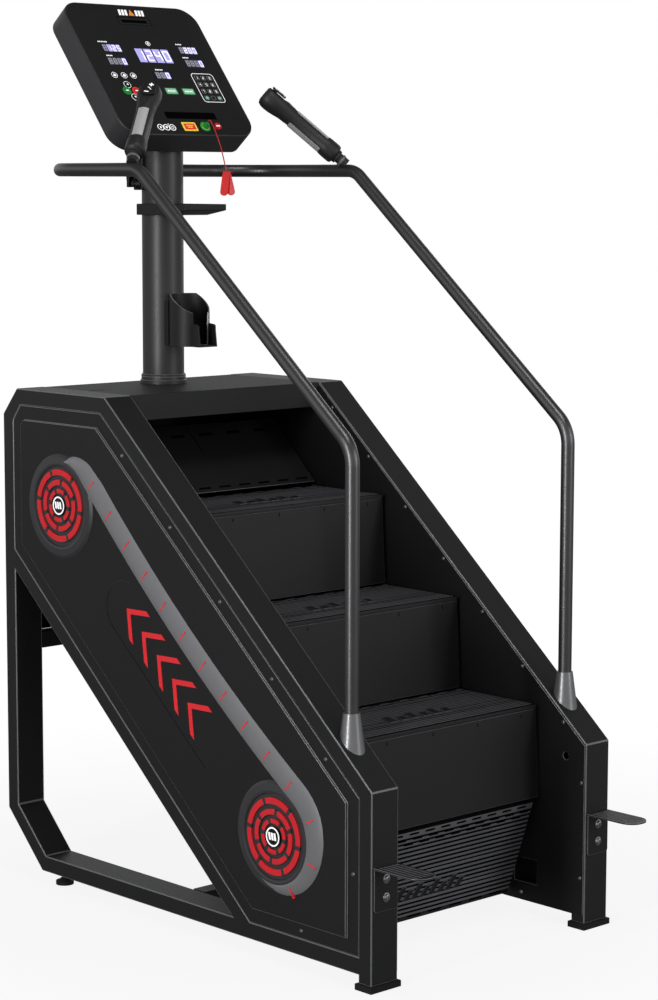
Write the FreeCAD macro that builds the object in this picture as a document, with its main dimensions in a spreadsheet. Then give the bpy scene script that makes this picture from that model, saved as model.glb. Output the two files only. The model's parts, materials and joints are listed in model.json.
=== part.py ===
import FreeCAD, Part
import math
import os

import Sketcher
from FreeCAD import Placement, Rotation, Vector

# Stair climber: a revolving staircase between two welded side frames, with a console post,
# handrails and a brake unit. Millimetres, +Z up, +Y from the entry side to the console, +X right.
# The origin lies on the floor, under the middle of the bounding box.

DIMS = {
    "overall_width": 696.0,
    "frame_wide": 72.0,
    "frame_deep": 36.0,
    "frame_wall": 3.0,
    "front_face": -548.0,
    "rear_face": 637.0,
    "deck_height": 1110.0,
    "slant_foot": 398.5,
    "pitch_angle": 40.84,
    "deck_rear_corner": 588.0,
    "rear_top_corner": 1053.0,
    "rear_low_corner": 151.6,
    "rail_rear_corner": 514.0,
    "rail_underside": 29.3,
    "pad_height": 12.3,
    "pad_overhang": 5.0,
    "brace_foot": -136.0,
    "sheet_gauge": 2.0,
    "cover_gap": 0.3,
    "plateau_rise": 5.0,
    "plateau_margin": 32.0,
    "vent_radius": 114.0,
    "vent_rise": 7.0,
    "step_rise": 202.9,
    "step_run": 234.4,
    "step_width": 528.0,
    "tread_depth": 224.0,
    "tread_thick": 24.0,
    "rib_pitch": 11.0,
    "rib_depth": 3.0,
    "riser_gauge": 3.0,
    "nosing_front": -181.5,
    "nosing_height": 669.2,
    "shaft_radius": 15.0,
    "shaft_length": 600.0,
    "sprocket_radius": 85.0,
    "chain_pitch_radius": 95.0,
    "chain_half_depth": 9.0,
    "chain_wide": 7.0,
    "lower_shaft_front": -275.0,
    "lower_shaft_height": 262.0,
    "shaft_spacing": 922.0,
    "rail_tube": 28.5,
    "rail_offset": 312.0,
    "rail_height": 1589.5,
    "rail_wall": 2.5,
    "post_radius": 47.0,
    "post_axis": 499.0,
    "post_top": 1644.0,
    "console_wide": 384.0,
    "console_long": 379.0,
    "console_tilt": 51.4,
    "console_front": 389.0,
    "console_base": 1666.5,
    "console_corner": 48.0,
    "bezel_deep": 30.0,
    "shell_deep": 29.5,
    "step_plate_reach": 124.5,
    "step_plate_wide": 64.0,
    "step_plate_top": 250.0,
    "grip_radius": 20.5,
    "grip_head_radius": 24.5,
    "foot_radius": 20.0,
    "key_travel_gap": 1.2,
}

doc = FreeCAD.newDocument("StairClimber")
sheet = doc.addObject("Spreadsheet::Sheet", "Dims")
for row, (alias, value) in enumerate(DIMS.items(), start=1):
    sheet.set(f"A{row}", alias)
    sheet.set(f"B{row}", str(value))
    sheet.setAlias(f"B{row}", alias)
doc.recompute()


def dim(alias):
    return float(getattr(sheet, alias))


# ---------------------------------------------------------------- helpers

nodes = {}


def keep(label, obj):
    """Register an object as one sub-part of the product."""
    obj.Label = label
    nodes[label] = obj
    return obj


def new_body(label):
    body = doc.addObject("PartDesign::Body", label.replace("-", "_"))
    return body


def origin_plane(body, role):
    return next(feature for feature in body.Origin.OriginFeatures if feature.Role == role)


def add_outline(sketch, points):
    """A closed outline of straight edges; a corner given as (a, b, radius) is rounded."""
    count = len(points)
    corners = []
    for index, point in enumerate(points):
        here = Vector(point[0], point[1], 0)
        radius = point[2] if len(point) > 2 else 0
        if not radius:
            corners.append((here, here, None))
            continue
        before = Vector(*points[index - 1][:2], 0) - here
        after = Vector(*points[(index + 1) % count][:2], 0) - here
        before.normalize()
        after.normalize()
        half = before.getAngle(after) / 2
        reach = radius / math.tan(half)
        bisector = (before + after).normalize()
        middle = here + bisector * (radius / math.sin(half) - radius)
        corners.append((here + before * reach, here + after * reach, middle))
    for index, (start, end, middle) in enumerate(corners):
        if middle is not None:
            sketch.addGeometry(Part.Arc(start, middle, end), False)
        following = corners[(index + 1) % count][0]
        if (following - end).Length > 1e-6:
            sketch.addGeometry(Part.LineSegment(end, following), False)


def add_sketch(body, role, offset, outlines=(), circles=(), offset_cell=None):
    """A sketch parallel to one of the body's own origin planes."""
    sketch = body.newObject("Sketcher::SketchObject", body.Name + "_sketch")
    sketch.AttachmentSupport = [(origin_plane(body, role), "")]
    sketch.MapMode = "FlatFace"
    sketch.AttachmentOffset = Placement(Vector(0, 0, offset), Rotation())
    if offset_cell:
        sketch.setExpression("AttachmentOffset.Base.z", offset_cell)
    for outline in outlines:
        add_outline(sketch, outline)
    for centre_a, centre_b, radius in circles:
        sketch.addGeometry(Part.Circle(Vector(centre_a, centre_b, 0), Vector(0, 0, 1), radius), False)
    return sketch


def pad(body, sketch, length):
    """Pad a sketch along its normal; length is a number or a spreadsheet expression."""
    feature = body.newObject("PartDesign::Pad", body.Name + "_pad")
    feature.Profile = sketch
    if isinstance(length, str):
        feature.setExpression("Length", length)
    else:
        feature.Length = length
    sketch.Visibility = False
    doc.recompute()
    return feature


def pocket(body, sketch, length, reverse=False):
    """Cut a sketch into the body and make sure that material really went."""
    before = body.Shape.Volume
    feature = body.newObject("PartDesign::Pocket", body.Name + "_pocket")
    feature.Profile = sketch
    if isinstance(length, str):
        feature.setExpression("Length", length)
    else:
        feature.Length = length
    feature.Reversed = reverse
    doc.recompute()
    if not body.Shape.Volume < before - 1e-3:
        raise RuntimeError(f"pocket in {body.Name} cut nothing")
    return feature


def plate(label, role, offset, outline, length, circles=(), holes=(), offset_cell=None):
    """A flat piece: one outline, any holes in it, padded once."""
    body = new_body(label)
    sketch = add_sketch(body, role, offset, [outline, *holes], circles, offset_cell)
    pad(body, sketch, length)
    return body


def inset(points, distance):
    """Move every edge of a closed outline inwards by a distance (outwards if negative)."""
    area = sum(a[0] * b[1] - b[0] * a[1] for a, b in zip(points, points[1:] + points[:1]))
    side = 1.0 if area > 0 else -1.0
    count = len(points)
    edges = []
    for index in range(count):
        start = Vector(*points[index][:2], 0)
        end = Vector(*points[(index + 1) % count][:2], 0)
        along = (end - start).normalize()
        normal = Vector(-along.y, along.x, 0) * side
        edges.append((start + normal * distance, along))
    moved = []
    for index in range(count):
        (base_a, along_a), (base_b, along_b) = edges[index - 1], edges[index]
        cross = along_a.x * along_b.y - along_a.y * along_b.x
        gap = base_b - base_a
        reach = (gap.x * along_b.y - gap.y * along_b.x) / cross
        corner = base_a + along_a * reach
        moved.append((corner.x, corner.y))
    return moved


def box(size, place, cells=()):
    """A Part box; cells binds its properties to the spreadsheet."""
    obj = doc.addObject("Part::Box", "Block")
    obj.Length, obj.Width, obj.Height = size
    for prop, expression in cells:
        obj.setExpression(prop, expression)
    obj.Placement = place
    return obj


def rod(radius, height, base, axis, cells=()):
    """A Part cylinder from its base point along an axis."""
    obj = doc.addObject("Part::Cylinder", "Rod")
    obj.Radius, obj.Height = radius, height
    for prop, expression in cells:
        obj.setExpression(prop, expression)
    obj.Placement = Placement(Vector(*base), Rotation(Vector(0, 0, 1), Vector(*axis)))
    return obj


def cone(radius_low, radius_high, height, base, axis):
    obj = doc.addObject("Part::Cone", "Taper")
    obj.Radius1, obj.Radius2, obj.Height = radius_low, radius_high, height
    obj.Placement = Placement(Vector(*base), Rotation(Vector(0, 0, 1), Vector(*axis)))
    return obj


def fuse(*shapes):
    obj = doc.addObject("Part::MultiFuse", "Union")
    obj.Shapes = list(shapes)
    return obj


def cut(base, *tools):
    result = base
    for tool in tools:
        step = doc.addObject("Part::Cut", "Cut")
        step.Base, step.Tool = result, tool
        result = step
    return result


def group(label, members):
    """Identical loose pieces that share one node as separate solids."""
    obj = doc.addObject("Part::Compound", label)
    obj.Links = list(members)
    return keep(label, obj)


def mirror(label, source):
    """The right-hand copy of a left-hand piece."""
    obj = doc.addObject("Part::Mirroring", label)
    obj.Source = source
    obj.Normal = Vector(1, 0, 0)
    obj.Base = Vector(0, 0, 0)
    return keep(label, obj)


def tube(label, role, offset, points, radii, profile_role, profile_at, profile_offset):
    """A bent round tube: a spine of straight runs and arcs with a ring swept along it."""
    body = new_body(label)
    spine = add_sketch(body, role, offset)
    ends = []
    for index, radius in enumerate(radii, start=1):
        here = Vector(*points[index], 0)
        before = (Vector(*points[index - 1], 0) - here).normalize()
        after = (Vector(*points[index + 1], 0) - here).normalize()
        half = before.getAngle(after) / 2
        reach = radius / math.tan(half)
        middle = here + (before + after).normalize() * (radius / math.sin(half) - radius)
        ends.append((here + before * reach, middle, here + after * reach))
    start = Vector(*points[0], 0)
    for arc_start, middle, arc_end in ends:
        spine.addGeometry(Part.LineSegment(start, arc_start), False)
        spine.addGeometry(Part.Arc(arc_start, middle, arc_end), False)
        start = arc_end
    spine.addGeometry(Part.LineSegment(start, Vector(*points[-1], 0)), False)
    radius = dim("rail_tube") / 2
    ring = [(*profile_at, radius), (*profile_at, radius - dim("rail_wall"))]
    profile = add_sketch(body, profile_role, profile_offset, circles=ring)
    doc.recompute()
    pipe = body.newObject("PartDesign::AdditivePipe", label + "_pipe")
    pipe.Profile = profile
    pipe.Spine = (spine, [f"Edge{number}" for number in range(1, 2 * len(radii) + 2)])
    doc.recompute()
    return keep(label, body)


# ---------------------------------------------------------------- shared geometry

HALF = dim("overall_width") / 2
INNER = HALF - dim("frame_wide")
FRONT = dim("front_face")
REAR = dim("rear_face")
DECK = dim("deck_height")
DEEP = dim("frame_deep")
PITCH = math.radians(dim("pitch_angle"))
SLOPE = math.tan(PITCH)
RAIL_TOP = dim("rail_underside") + DEEP
SLANT_TOP = FRONT + (DECK - dim("slant_foot")) / SLOPE
SHEET = dim("sheet_gauge")
UP_SLOPE = Vector(0, math.cos(PITCH), math.sin(PITCH))
OFF_SLOPE = Vector(0, -math.sin(PITCH), math.cos(PITCH))
LOWER_SHAFT = Vector(0, dim("lower_shaft_front"), dim("lower_shaft_height"))
UPPER_SHAFT = LOWER_SHAFT + UP_SLOPE * dim("shaft_spacing")

OUTER_LOOP = [
    (FRONT, dim("pad_height")),
    (FRONT, dim("slant_foot")),
    (SLANT_TOP, DECK),
    (dim("deck_rear_corner"), DECK),
    (REAR, dim("rear_top_corner")),
    (REAR, dim("rear_low_corner")),
    (dim("rail_rear_corner"), dim("rail_underside")),
    (FRONT + DEEP, dim("rail_underside")),
    (FRONT + DEEP, dim("pad_height")),
]


def slant_line(height_at_zero, along):
    return height_at_zero + along * SLOPE


SLANT_INNER = dim("slant_foot") - FRONT * SLOPE - DEEP / math.cos(PITCH)
BRACE_LOWER = RAIL_TOP - dim("brace_foot") * SLOPE
BRACE_UPPER = BRACE_LOWER + DEEP / math.cos(PITCH)
CHAMFER_STEP = 14.0
FOOT_PLACE = 478.0

UPPER_WINDOW = [
    (FRONT + DEEP, RAIL_TOP),
    (FRONT + DEEP, slant_line(SLANT_INNER, FRONT + DEEP)),
    ((DECK - DEEP - SLANT_INNER) / SLOPE, DECK - DEEP),
    (dim("deck_rear_corner") - CHAMFER_STEP, DECK - DEEP),
    (REAR - DEEP, dim("rear_top_corner") - CHAMFER_STEP),
    (REAR - DEEP, slant_line(BRACE_UPPER, REAR - DEEP)),
    ((RAIL_TOP - BRACE_UPPER) / SLOPE, RAIL_TOP),
]
LOWER_WINDOW = [
    (dim("brace_foot"), RAIL_TOP),
    (REAR - DEEP, slant_line(BRACE_LOWER, REAR - DEEP)),
    (REAR - DEEP, dim("rear_low_corner") + CHAMFER_STEP),
    (dim("rail_rear_corner") - CHAMFER_STEP, RAIL_TOP),
]

# ---------------------------------------------------------------- frame


def make_side_frame():
    """Welded loop of closed box section with a sloping brace; the wall is left by an inner cavity."""
    tube_body = new_body("frame_section")
    outline = add_sketch(tube_body, "YZ_Plane", -HALF, [OUTER_LOOP, UPPER_WINDOW, LOWER_WINDOW],
                         offset_cell="-Dims.overall_width / 2")
    pad(tube_body, outline, "Dims.frame_wide")
    stud_hole = add_sketch(tube_body, "XY_Plane", RAIL_TOP - 10.0, circles=[(-dim("rail_offset"), FOOT_PLACE, 6.6)])
    pocket(tube_body, stud_hole, DEEP)
    wall = dim("frame_wall")
    hollow = [inset(OUTER_LOOP, wall), inset(UPPER_WINDOW, -wall), inset(LOWER_WINDOW, -wall)]
    cavity = new_body("frame_cavity")
    inside = add_sketch(cavity, "YZ_Plane", -HALF + wall, hollow,
                        offset_cell="-Dims.overall_width / 2 + Dims.frame_wall")
    pad(cavity, inside, "Dims.frame_wide - 2 * Dims.frame_wall")
    return keep("side_frame_left", cut(tube_body, cavity))


frame_left = make_side_frame()
mirror("side_frame_right", frame_left)

overhang = dim("pad_overhang")
pads = []
for side in (-1, 1):
    pads.append(box(
        (dim("frame_wide") + 2 * overhang, DEEP + 2 * overhang, dim("pad_height")),
        Placement(Vector(side * (HALF + INNER) / 2 - dim("frame_wide") / 2 - overhang,
                         FRONT - overhang, 0), Rotation()),
        [("Height", "Dims.pad_height")]))
group("front_foot_pads", pads)

# Cross members: (front y, underside z) of each square-section beam between the side frames.
BEAM_PLACES = [
    (SLANT_TOP + 14.0, DECK - 44.0),
    (REAR - DEEP - 4.0, DECK - 96.0),
    (REAR - DEEP, 516.0),
    (39.0, dim("rail_underside")),
]
beams = []
for front, under in BEAM_PLACES:
    outline = [(front, under), (front + DEEP, under), (front + DEEP, under + DEEP), (front, under + DEEP)]
    beam = plate("cross_member", "YZ_Plane", -INNER + SHEET + 0.5, outline,
                 2 * (INNER - SHEET) - 1.0, holes=[inset(outline, dim("frame_wall"))])
    beams.append(beam)
group("cross_members", beams)


def make_side_cover():
    """Pressed steel cover in the upper window, with a raised field and two shaft vents."""
    body = new_body("side_cover_left")
    rim = inset(UPPER_WINDOW, dim("cover_gap"))
    field = inset(UPPER_WINDOW, dim("plateau_margin"))
    pad(body, add_sketch(body, "YZ_Plane", -HALF, [rim]), "Dims.sheet_gauge")
    rise = dim("plateau_rise")
    pad(body, add_sketch(body, "YZ_Plane", -HALF - rise, [field]), rise)
    hollow = inset(UPPER_WINDOW, dim("plateau_margin") + SHEET)
    pocket(body, add_sketch(body, "YZ_Plane", -HALF + SHEET, [hollow]), "Dims.plateau_rise")
    return keep("side_cover_left", body)


cover_left = make_side_cover()
mirror("side_cover_right", cover_left)

VENT_PLACES = [(424.0, 863.0), (-275.0, 262.0)]


def make_vent(side, centre):
    """Round grille: a rounded lip and three concentric rings standing on a disc."""
    radius = dim("vent_radius")
    rise = dim("vent_rise")
    rings = [(79.0, 67.0), (56.0, 45.0), (36.0, 27.0)]
    profile = [(0.0, 0.0), (radius, 0.0), (radius - 6.0, rise - 2.5), (radius - 20.0, rise - 1.0),
               (radius - 25.0, rise - 2.0), (radius - 27.0, 1.5)]
    for outer, inner in rings:
        profile += [(outer, 1.5), (outer, rise - 2.0), (inner, rise - 2.0), (inner, 1.5)]
    profile.append((0.0, 1.5))
    body = new_body("vent_grille")
    sketch = add_sketch(body, "XZ_Plane", 0.0, [profile])
    turned = body.newObject("PartDesign::Revolution", "vent_turned")
    turned.Profile = sketch
    turned.ReferenceAxis = (sketch, ["V_Axis"])
    turned.Angle = 360
    face = side * (HALF + dim("plateau_rise") + 0.05)
    body.Placement = Placement(Vector(face, *centre), Rotation(Vector(0, 0, 1), Vector(side, 0, 0)))
    return body


def vent_cap(side, centre):
    face = side * (HALF + dim("plateau_rise") + 0.05 + 1.5)
    return rod(21.0, dim("vent_rise") - 1.5, (face, *centre), (side, 0, 0))


group("vent_grilles", [make_vent(side, centre) for side in (-1, 1) for centre in VENT_PLACES])
group("vent_caps", [vent_cap(side, centre) for side in (-1, 1) for centre in VENT_PLACES])

# ---------------------------------------------------------------- sheets round the stairwell

EDGE_GAP = 3.0
side_sheet = [
    (FRONT + EDGE_GAP, dim("rail_underside")),
    (FRONT + EDGE_GAP, dim("slant_foot") - EDGE_GAP),
    (SLANT_TOP, DECK - EDGE_GAP),
    (dim("deck_rear_corner") - CHAMFER_STEP, DECK - EDGE_GAP),
    (REAR - DEEP, dim("rear_top_corner") - CHAMFER_STEP),
    (REAR - DEEP, slant_line(BRACE_LOWER, REAR - DEEP)),
    (dim("brace_foot"), RAIL_TOP),
    (dim("brace_foot"), dim("rail_underside")),
]
inspection_slot = [(-415.0, 70.0), (-350.0, 70.0), (-350.0, 123.0), (-415.0, 123.0)]
SHAFT_HOLE = dim("shaft_radius") + 5.0
sheet_holes = [(-493.3, 366.0, 8.0),
               (LOWER_SHAFT.y, LOWER_SHAFT.z, SHAFT_HOLE),
               (UPPER_SHAFT.y, UPPER_SHAFT.z, SHAFT_HOLE)]
inner_left = plate("inner_sheet_left", "YZ_Plane", -INNER, side_sheet, "Dims.sheet_gauge",
                   circles=sheet_holes, holes=[inspection_slot])
keep("inner_sheet_left", inner_left)
mirror("inner_sheet_right", inner_left)

WELL_HALF = INNER - SHEET - 0.5
deck_profile = [
    (SLANT_TOP + 3.5, DECK - SHEET - 0.5),
    (REAR - DEEP - 22.0, DECK - SHEET - 0.5),
    (REAR - DEEP - 22.0, DECK - 0.5),
    (SLANT_TOP + 3.5, DECK - 0.5),
]
deck = plate("top_deck", "YZ_Plane", -WELL_HALF, deck_profile, 2 * WELL_HALF)
slot = [(-262.0, 430.0), (-222.0, 430.0), (-222.0, 438.0), (-262.0, 438.0)]
pocket(deck, add_sketch(deck, "XY_Plane", DECK, [slot]), 10.0)
keep("top_deck", deck)

fascia_profile = [
    (SLANT_TOP, DECK - 56.0),
    (SLANT_TOP + 14.0, DECK - 56.0),
    (SLANT_TOP + 14.0, DECK - 54.0),
    (SLANT_TOP + 3.0, DECK - 54.0),
    (SLANT_TOP + 3.0, DECK - 0.5),
    (SLANT_TOP, DECK - 0.5),
]
keep("front_fascia", plate("front_fascia", "YZ_Plane", -WELL_HALF, fascia_profile, 2 * WELL_HALF))
outer_skin = inset(OUTER_LOOP, 1.0)
inner_skin = inset(OUTER_LOOP, 1.0 + SHEET)
rear_profile = [(REAR - 1.0, 553.0), outer_skin[4], outer_skin[3], inner_skin[3], inner_skin[4],
                (REAR - 1.0 - SHEET, 553.0)]
keep("rear_panel", plate("rear_panel", "YZ_Plane", -INNER, rear_profile, 2 * INNER))

belly_start = LOWER_SHAFT + UP_SLOPE * 250.0 - OFF_SLOPE * 236.0
belly = box((2 * WELL_HALF, 700.0, SHEET),
            Placement(Vector(-WELL_HALF, belly_start.y, belly_start.z),
                      Rotation(Vector(1, 0, 0), dim("pitch_angle"))),
            [("Height", "Dims.sheet_gauge")])
keep("belly_pan", belly)

# ---------------------------------------------------------------- screws and bolts


def screw(base, axis, head=4.5, height=2.2):
    """Low domed head that sits on the face it holds."""
    return cone(head, head * 0.55, height, base, axis)


def along_outline(points, spacing, edges):
    """Evenly spaced places along the chosen edges of an outline."""
    places = []
    for number in edges:
        start = points[number]
        end = points[(number + 1) % len(points)]
        span = math.dist(start, end)
        count = max(1, round(span / spacing))
        for index in range(count):
            share = (index + 0.5) / count
            places.append((start[0] + (end[0] - start[0]) * share, start[1] + (end[1] - start[1]) * share))
    return places


panel_screws = []
SCREWED_EDGES = (0, 1, 6)
for place in along_outline(inset(UPPER_WINDOW, 16.0), 230.0, SCREWED_EDGES):
    for side in (-1, 1):
        panel_screws.append(screw((side * (HALF + 0.05), *place), (side, 0, 0)))
screw_line = dim("slant_foot") - FRONT * SLOPE - 17.0
for number in range(7):
    along = FRONT + 64.0 + 119.0 * number
    for side in (-1, 1):
        panel_screws.append(screw((side * (INNER - SHEET - 0.05), along, slant_line(screw_line, along)),
                                  (-side, 0, 0)))
for along, height in ((FRONT + 12.0, 315.0), (FRONT + 12.0, 110.0), (FRONT + 178.0, 46.0)):
    for side in (-1, 1):
        panel_screws.append(screw((side * (INNER - SHEET - 0.05), along, height), (-side, 0, 0)))
group("panel_screws", panel_screws)


def make_boarding_step(side):
    """Bent plate: a vertical flange bolted to the post and a level, round-ended foot plate."""
    body = new_body("boarding_step_left" if side < 0 else "boarding_step_right")
    thick = 4.0
    middle = side * dim("rail_offset")
    half = dim("step_plate_wide") / 2
    top = dim("step_plate_top")
    bend = 0.05
    flange = [(middle - half, 160.0, 6.0), (middle + half, 160.0, 6.0), (middle + half, top), (middle - half, top)]
    pad(body, add_sketch(body, "XZ_Plane", -FRONT + bend, [flange]), thick)
    tip = FRONT - dim("step_plate_reach")
    tread = [(middle - half, tip, 30.0), (middle + half, tip, 30.0),
             (middle + half, FRONT - bend - thick), (middle - half, FRONT - bend - thick)]
    pad(body, add_sketch(body, "XY_Plane", top - thick, [tread]), thick)
    grooves = []
    for index in range(5):
        across = middle - 22.0 + 11.0 * index
        grooves.append([(across - 2.0, tip + 14.0), (across + 2.0, tip + 14.0),
                        (across + 2.0, FRONT - 10.0), (across - 2.0, FRONT - 10.0)])
    pocket(body, add_sketch(body, "XY_Plane", top, grooves), 1.2)
    return keep(body.Name, body)


for side in (-1, 1):
    make_boarding_step(side)

frame_bolts = []
for side in (-1, 1):
    for height in (224.0, 187.0):
        frame_bolts.append(cone(9.0, 6.5, 5.0, (side * dim("rail_offset"), FRONT - 4.1, height), (0, -1, 0)))

# ---------------------------------------------------------------- handrails

RAIL = dim("rail_height")
UPRIGHT = -453.0
RAIL_BEND = 60.0
slant_rise = dim("slant_foot") + (UPRIGHT - FRONT) * SLOPE
left_path = [(UPRIGHT, slant_rise + 52.0), (UPRIGHT, 1054.0), (196.0, RAIL), (400.0, RAIL)]
for side, label in ((-1, "handrail_left"), (1, "handrail_right")):
    tube(label, "YZ_Plane", side * dim("rail_offset"), left_path, [RAIL_BEND + 15.0, RAIL_BEND],
         "XY_Plane", (side * dim("rail_offset"), UPRIGHT), slant_rise + 52.0)
REAR_BAR = 560.0
REAR_RADIUS = 140.0
rail_x = dim("rail_offset")
rear_path = [(-rail_x, 400.1), (-rail_x, REAR_BAR), (rail_x, REAR_BAR), (rail_x, 400.1)]
tube("handrail_rear", "XY_Plane", RAIL, rear_path, [REAR_RADIUS, REAR_RADIUS],
     "XZ_Plane", (-rail_x, RAIL), -400.1)

CONE_HEIGHT = 96.0
rail_cones = []
for side in (-1, 1):
    foot_z = slant_rise - 40.0
    taper = cone(30.0, 17.0, CONE_HEIGHT, (side * rail_x, UPRIGHT, foot_z), (0, 0, 1))
    bore = rod(dim("rail_tube") / 2 + 0.05, 200.0, (side * rail_x, UPRIGHT, foot_z - 50.0), (0, 0, 1))
    sole = Vector(side * rail_x - 40.0, UPRIGHT - 80.0 * math.cos(PITCH), slant_rise - 80.0 * math.sin(PITCH) + 0.1)
    below = box((80.0, 200.0, 80.0),
                Placement(sole - OFF_SLOPE * 80.0, Rotation(Vector(1, 0, 0), dim("pitch_angle"))))
    rail_cones.append(cut(taper, bore, below))
group("rail_cones", rail_cones)

# ---------------------------------------------------------------- post and what it carries

POST = dim("post_axis")
RADIUS = dim("post_radius")
post_outer = rod(RADIUS, dim("post_top") - DECK - 6.0, (0, POST, DECK + 6.0), (0, 0, 1),
                 [("Radius", "Dims.post_radius"), ("Height", "Dims.post_top - Dims.deck_height - 6")])
post_inner = rod(RADIUS - 3.0, 700.0, (0, POST, DECK - 50.0), (0, 0, 1), [("Radius", "Dims.post_radius - 3")])
keep("console_post", cut(post_outer, post_inner))

flange_body = new_body("post_flange")
ring = [(RADIUS - 3.5, -0.4), (RADIUS + 6.0, -0.4), (RADIUS + 6.0, 6.5), (RADIUS + 3.5, 8.0),
        (RADIUS + 3.5, 19.0), (RADIUS + 2.0, 20.5), (RADIUS + 0.1, 20.5), (RADIUS + 0.1, 5.9),
        (RADIUS - 3.5, 5.9)]
flange_sketch = add_sketch(flange_body, "XZ_Plane", 0.0, [ring])
flange_turn = flange_body.newObject("PartDesign::Revolution", "flange_turned")
flange_turn.Profile = flange_sketch
flange_turn.ReferenceAxis = (flange_sketch, ["V_Axis"])
flange_turn.Angle = 360
flange_body.Placement = Placement(Vector(0, POST, DECK), Rotation())
keep("post_flange", flange_body)

clamp_plate = box((120.0, 8.0, 76.0), Placement(Vector(-60.0, POST + RADIUS + 0.2, RAIL - 38.0), Rotation()))
saddle = box((90.0, 2 * (REAR_BAR - POST - RADIUS) - 0.0, 44.0),
             Placement(Vector(-45.0, POST + RADIUS + 0.2, RAIL - 22.0), Rotation()))
rail_groove = rod(dim("rail_tube") / 2 + 0.1, 400.0, (-200.0, REAR_BAR, RAIL), (1, 0, 0))
post_groove = rod(RADIUS + 0.2, 300.0, (0, POST, RAIL - 150.0), (0, 0, 1))
ears = box((2 * RADIUS + 16.0, 30.0, 88.0), Placement(Vector(-RADIUS - 8.0, POST + 6.0, RAIL - 44.0), Rotation()))
keep("rail_clamp", cut(fuse(clamp_plate, saddle, ears), rail_groove, post_groove))
for side in (-1, 1):
    for height in (-30.0, 30.0):
        frame_bolts.append(cone(12.0, 5.0, 15.0, (side * (RADIUS + 8.1), POST + 21.0, RAIL + height), (side, 0, 0)))
group("frame_bolts", frame_bolts)

CUP_AXIS = POST - RADIUS - 46.0
CUP_BASE = 1198.0
CUP_RADIUS = 45.0
cup_body = rod(CUP_RADIUS, 118.0, (0, CUP_AXIS, CUP_BASE), (0, 0, 1))
cup_back = box((56.0, 12.0, 100.0), Placement(Vector(-28.0, CUP_AXIS + 36.0, CUP_BASE), Rotation()))
lip_block = box((52.0, 30.0, 60.0), Placement(Vector(-26.0, CUP_AXIS - 66.0, CUP_BASE), Rotation()))
cup_clear = rod(CUP_RADIUS - 3.0, 200.0, (0, CUP_AXIS, CUP_BASE + 3.0), (0, 0, 1))
cup_post = rod(RADIUS + 0.15, 200.0, (0, POST, CUP_BASE - 20.0), (0, 0, 1))
lip_gap = box((45.0, 60.0, 200.0), Placement(Vector(-22.5, CUP_AXIS - 70.0, CUP_BASE + 4.0), Rotation()))
slant_cut = box((140.0, 160.0, 90.0),
                Placement(Vector(-70.0, CUP_AXIS - 62.0, CUP_BASE + 60.0), Rotation(Vector(1, 0, 0), 34.0)))
keep("cup_holder", cut(fuse(cup_body, cup_back, lip_block), cup_clear, cup_post, lip_gap, slant_cut))

TRAY_TOP = 1515.0
tray_profile = [(POST - RADIUS - 104.0, TRAY_TOP - 14.0), (POST - RADIUS - 40.0, TRAY_TOP - 25.0),
                (POST + 20.0, TRAY_TOP - 25.0), (POST + 20.0, TRAY_TOP), (POST - RADIUS - 104.0, TRAY_TOP)]
tray = plate("phone_tray", "YZ_Plane", -60.0, tray_profile, 120.0)
dish = [(-56.0, POST - RADIUS - 100.0, 8.0), (56.0, POST - RADIUS - 100.0, 8.0),
        (56.0, POST - RADIUS - 6.0, 8.0), (-56.0, POST - RADIUS - 6.0, 8.0)]
pocket(tray, add_sketch(tray, "XY_Plane", TRAY_TOP, [dish]), 10.0)
pocket(tray, add_sketch(tray, "XY_Plane", TRAY_TOP, circles=[(0, POST, RADIUS + 0.15)]), 60.0)
keep("phone_tray", tray)

# ---------------------------------------------------------------- console

CONSOLE = Placement(Vector(0, dim("console_front"), dim("console_base")),
                    Rotation(Vector(1, 0, 0), dim("console_tilt")))
HALF_CONSOLE = dim("console_wide") / 2
LONG = dim("console_long")
CORNER = dim("console_corner")


def seat_on_console(obj):
    """Console pieces are drawn on their own level panel, then tilted into place together."""
    obj.Placement = CONSOLE.multiply(obj.Placement)
    return obj


def panel_outline(shrink=0.0):
    side = HALF_CONSOLE - shrink
    radius = CORNER - shrink
    return [(-side, shrink, radius), (side, shrink, radius),
            (side, LONG - shrink, radius), (-side, LONG - shrink, radius)]


def rectangle(centre_x, centre_y, wide, high, radius=0.0):
    corners = [(-1, -1), (1, -1), (1, 1), (-1, 1)]
    return [(centre_x + a * wide / 2, centre_y + b * high / 2, radius) for a, b in corners]


WINDOWS = [(-108.0, 247.0, 54.0, 24.0), (-108.0, 208.5, 54.0, 23.0), (3.0, 229.0, 97.0, 43.0),
           (114.0, 249.5, 54.0, 23.0), (114.0, 211.0, 54.0, 23.0), (1.0, 172.0, 53.0, 22.0)]
KEYS = {"key_up": (-116.4, 141.3), "key_start": (-126.0, 123.8), "key_pause": (-99.3, 123.7),
        "key_down": (-111.8, 106.1)}
KEY_RADIUS = 7.0
STOP_PLACE = (81.9, 24.9)
SOCKET_PLACE = (46.8, 25.1)

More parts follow.
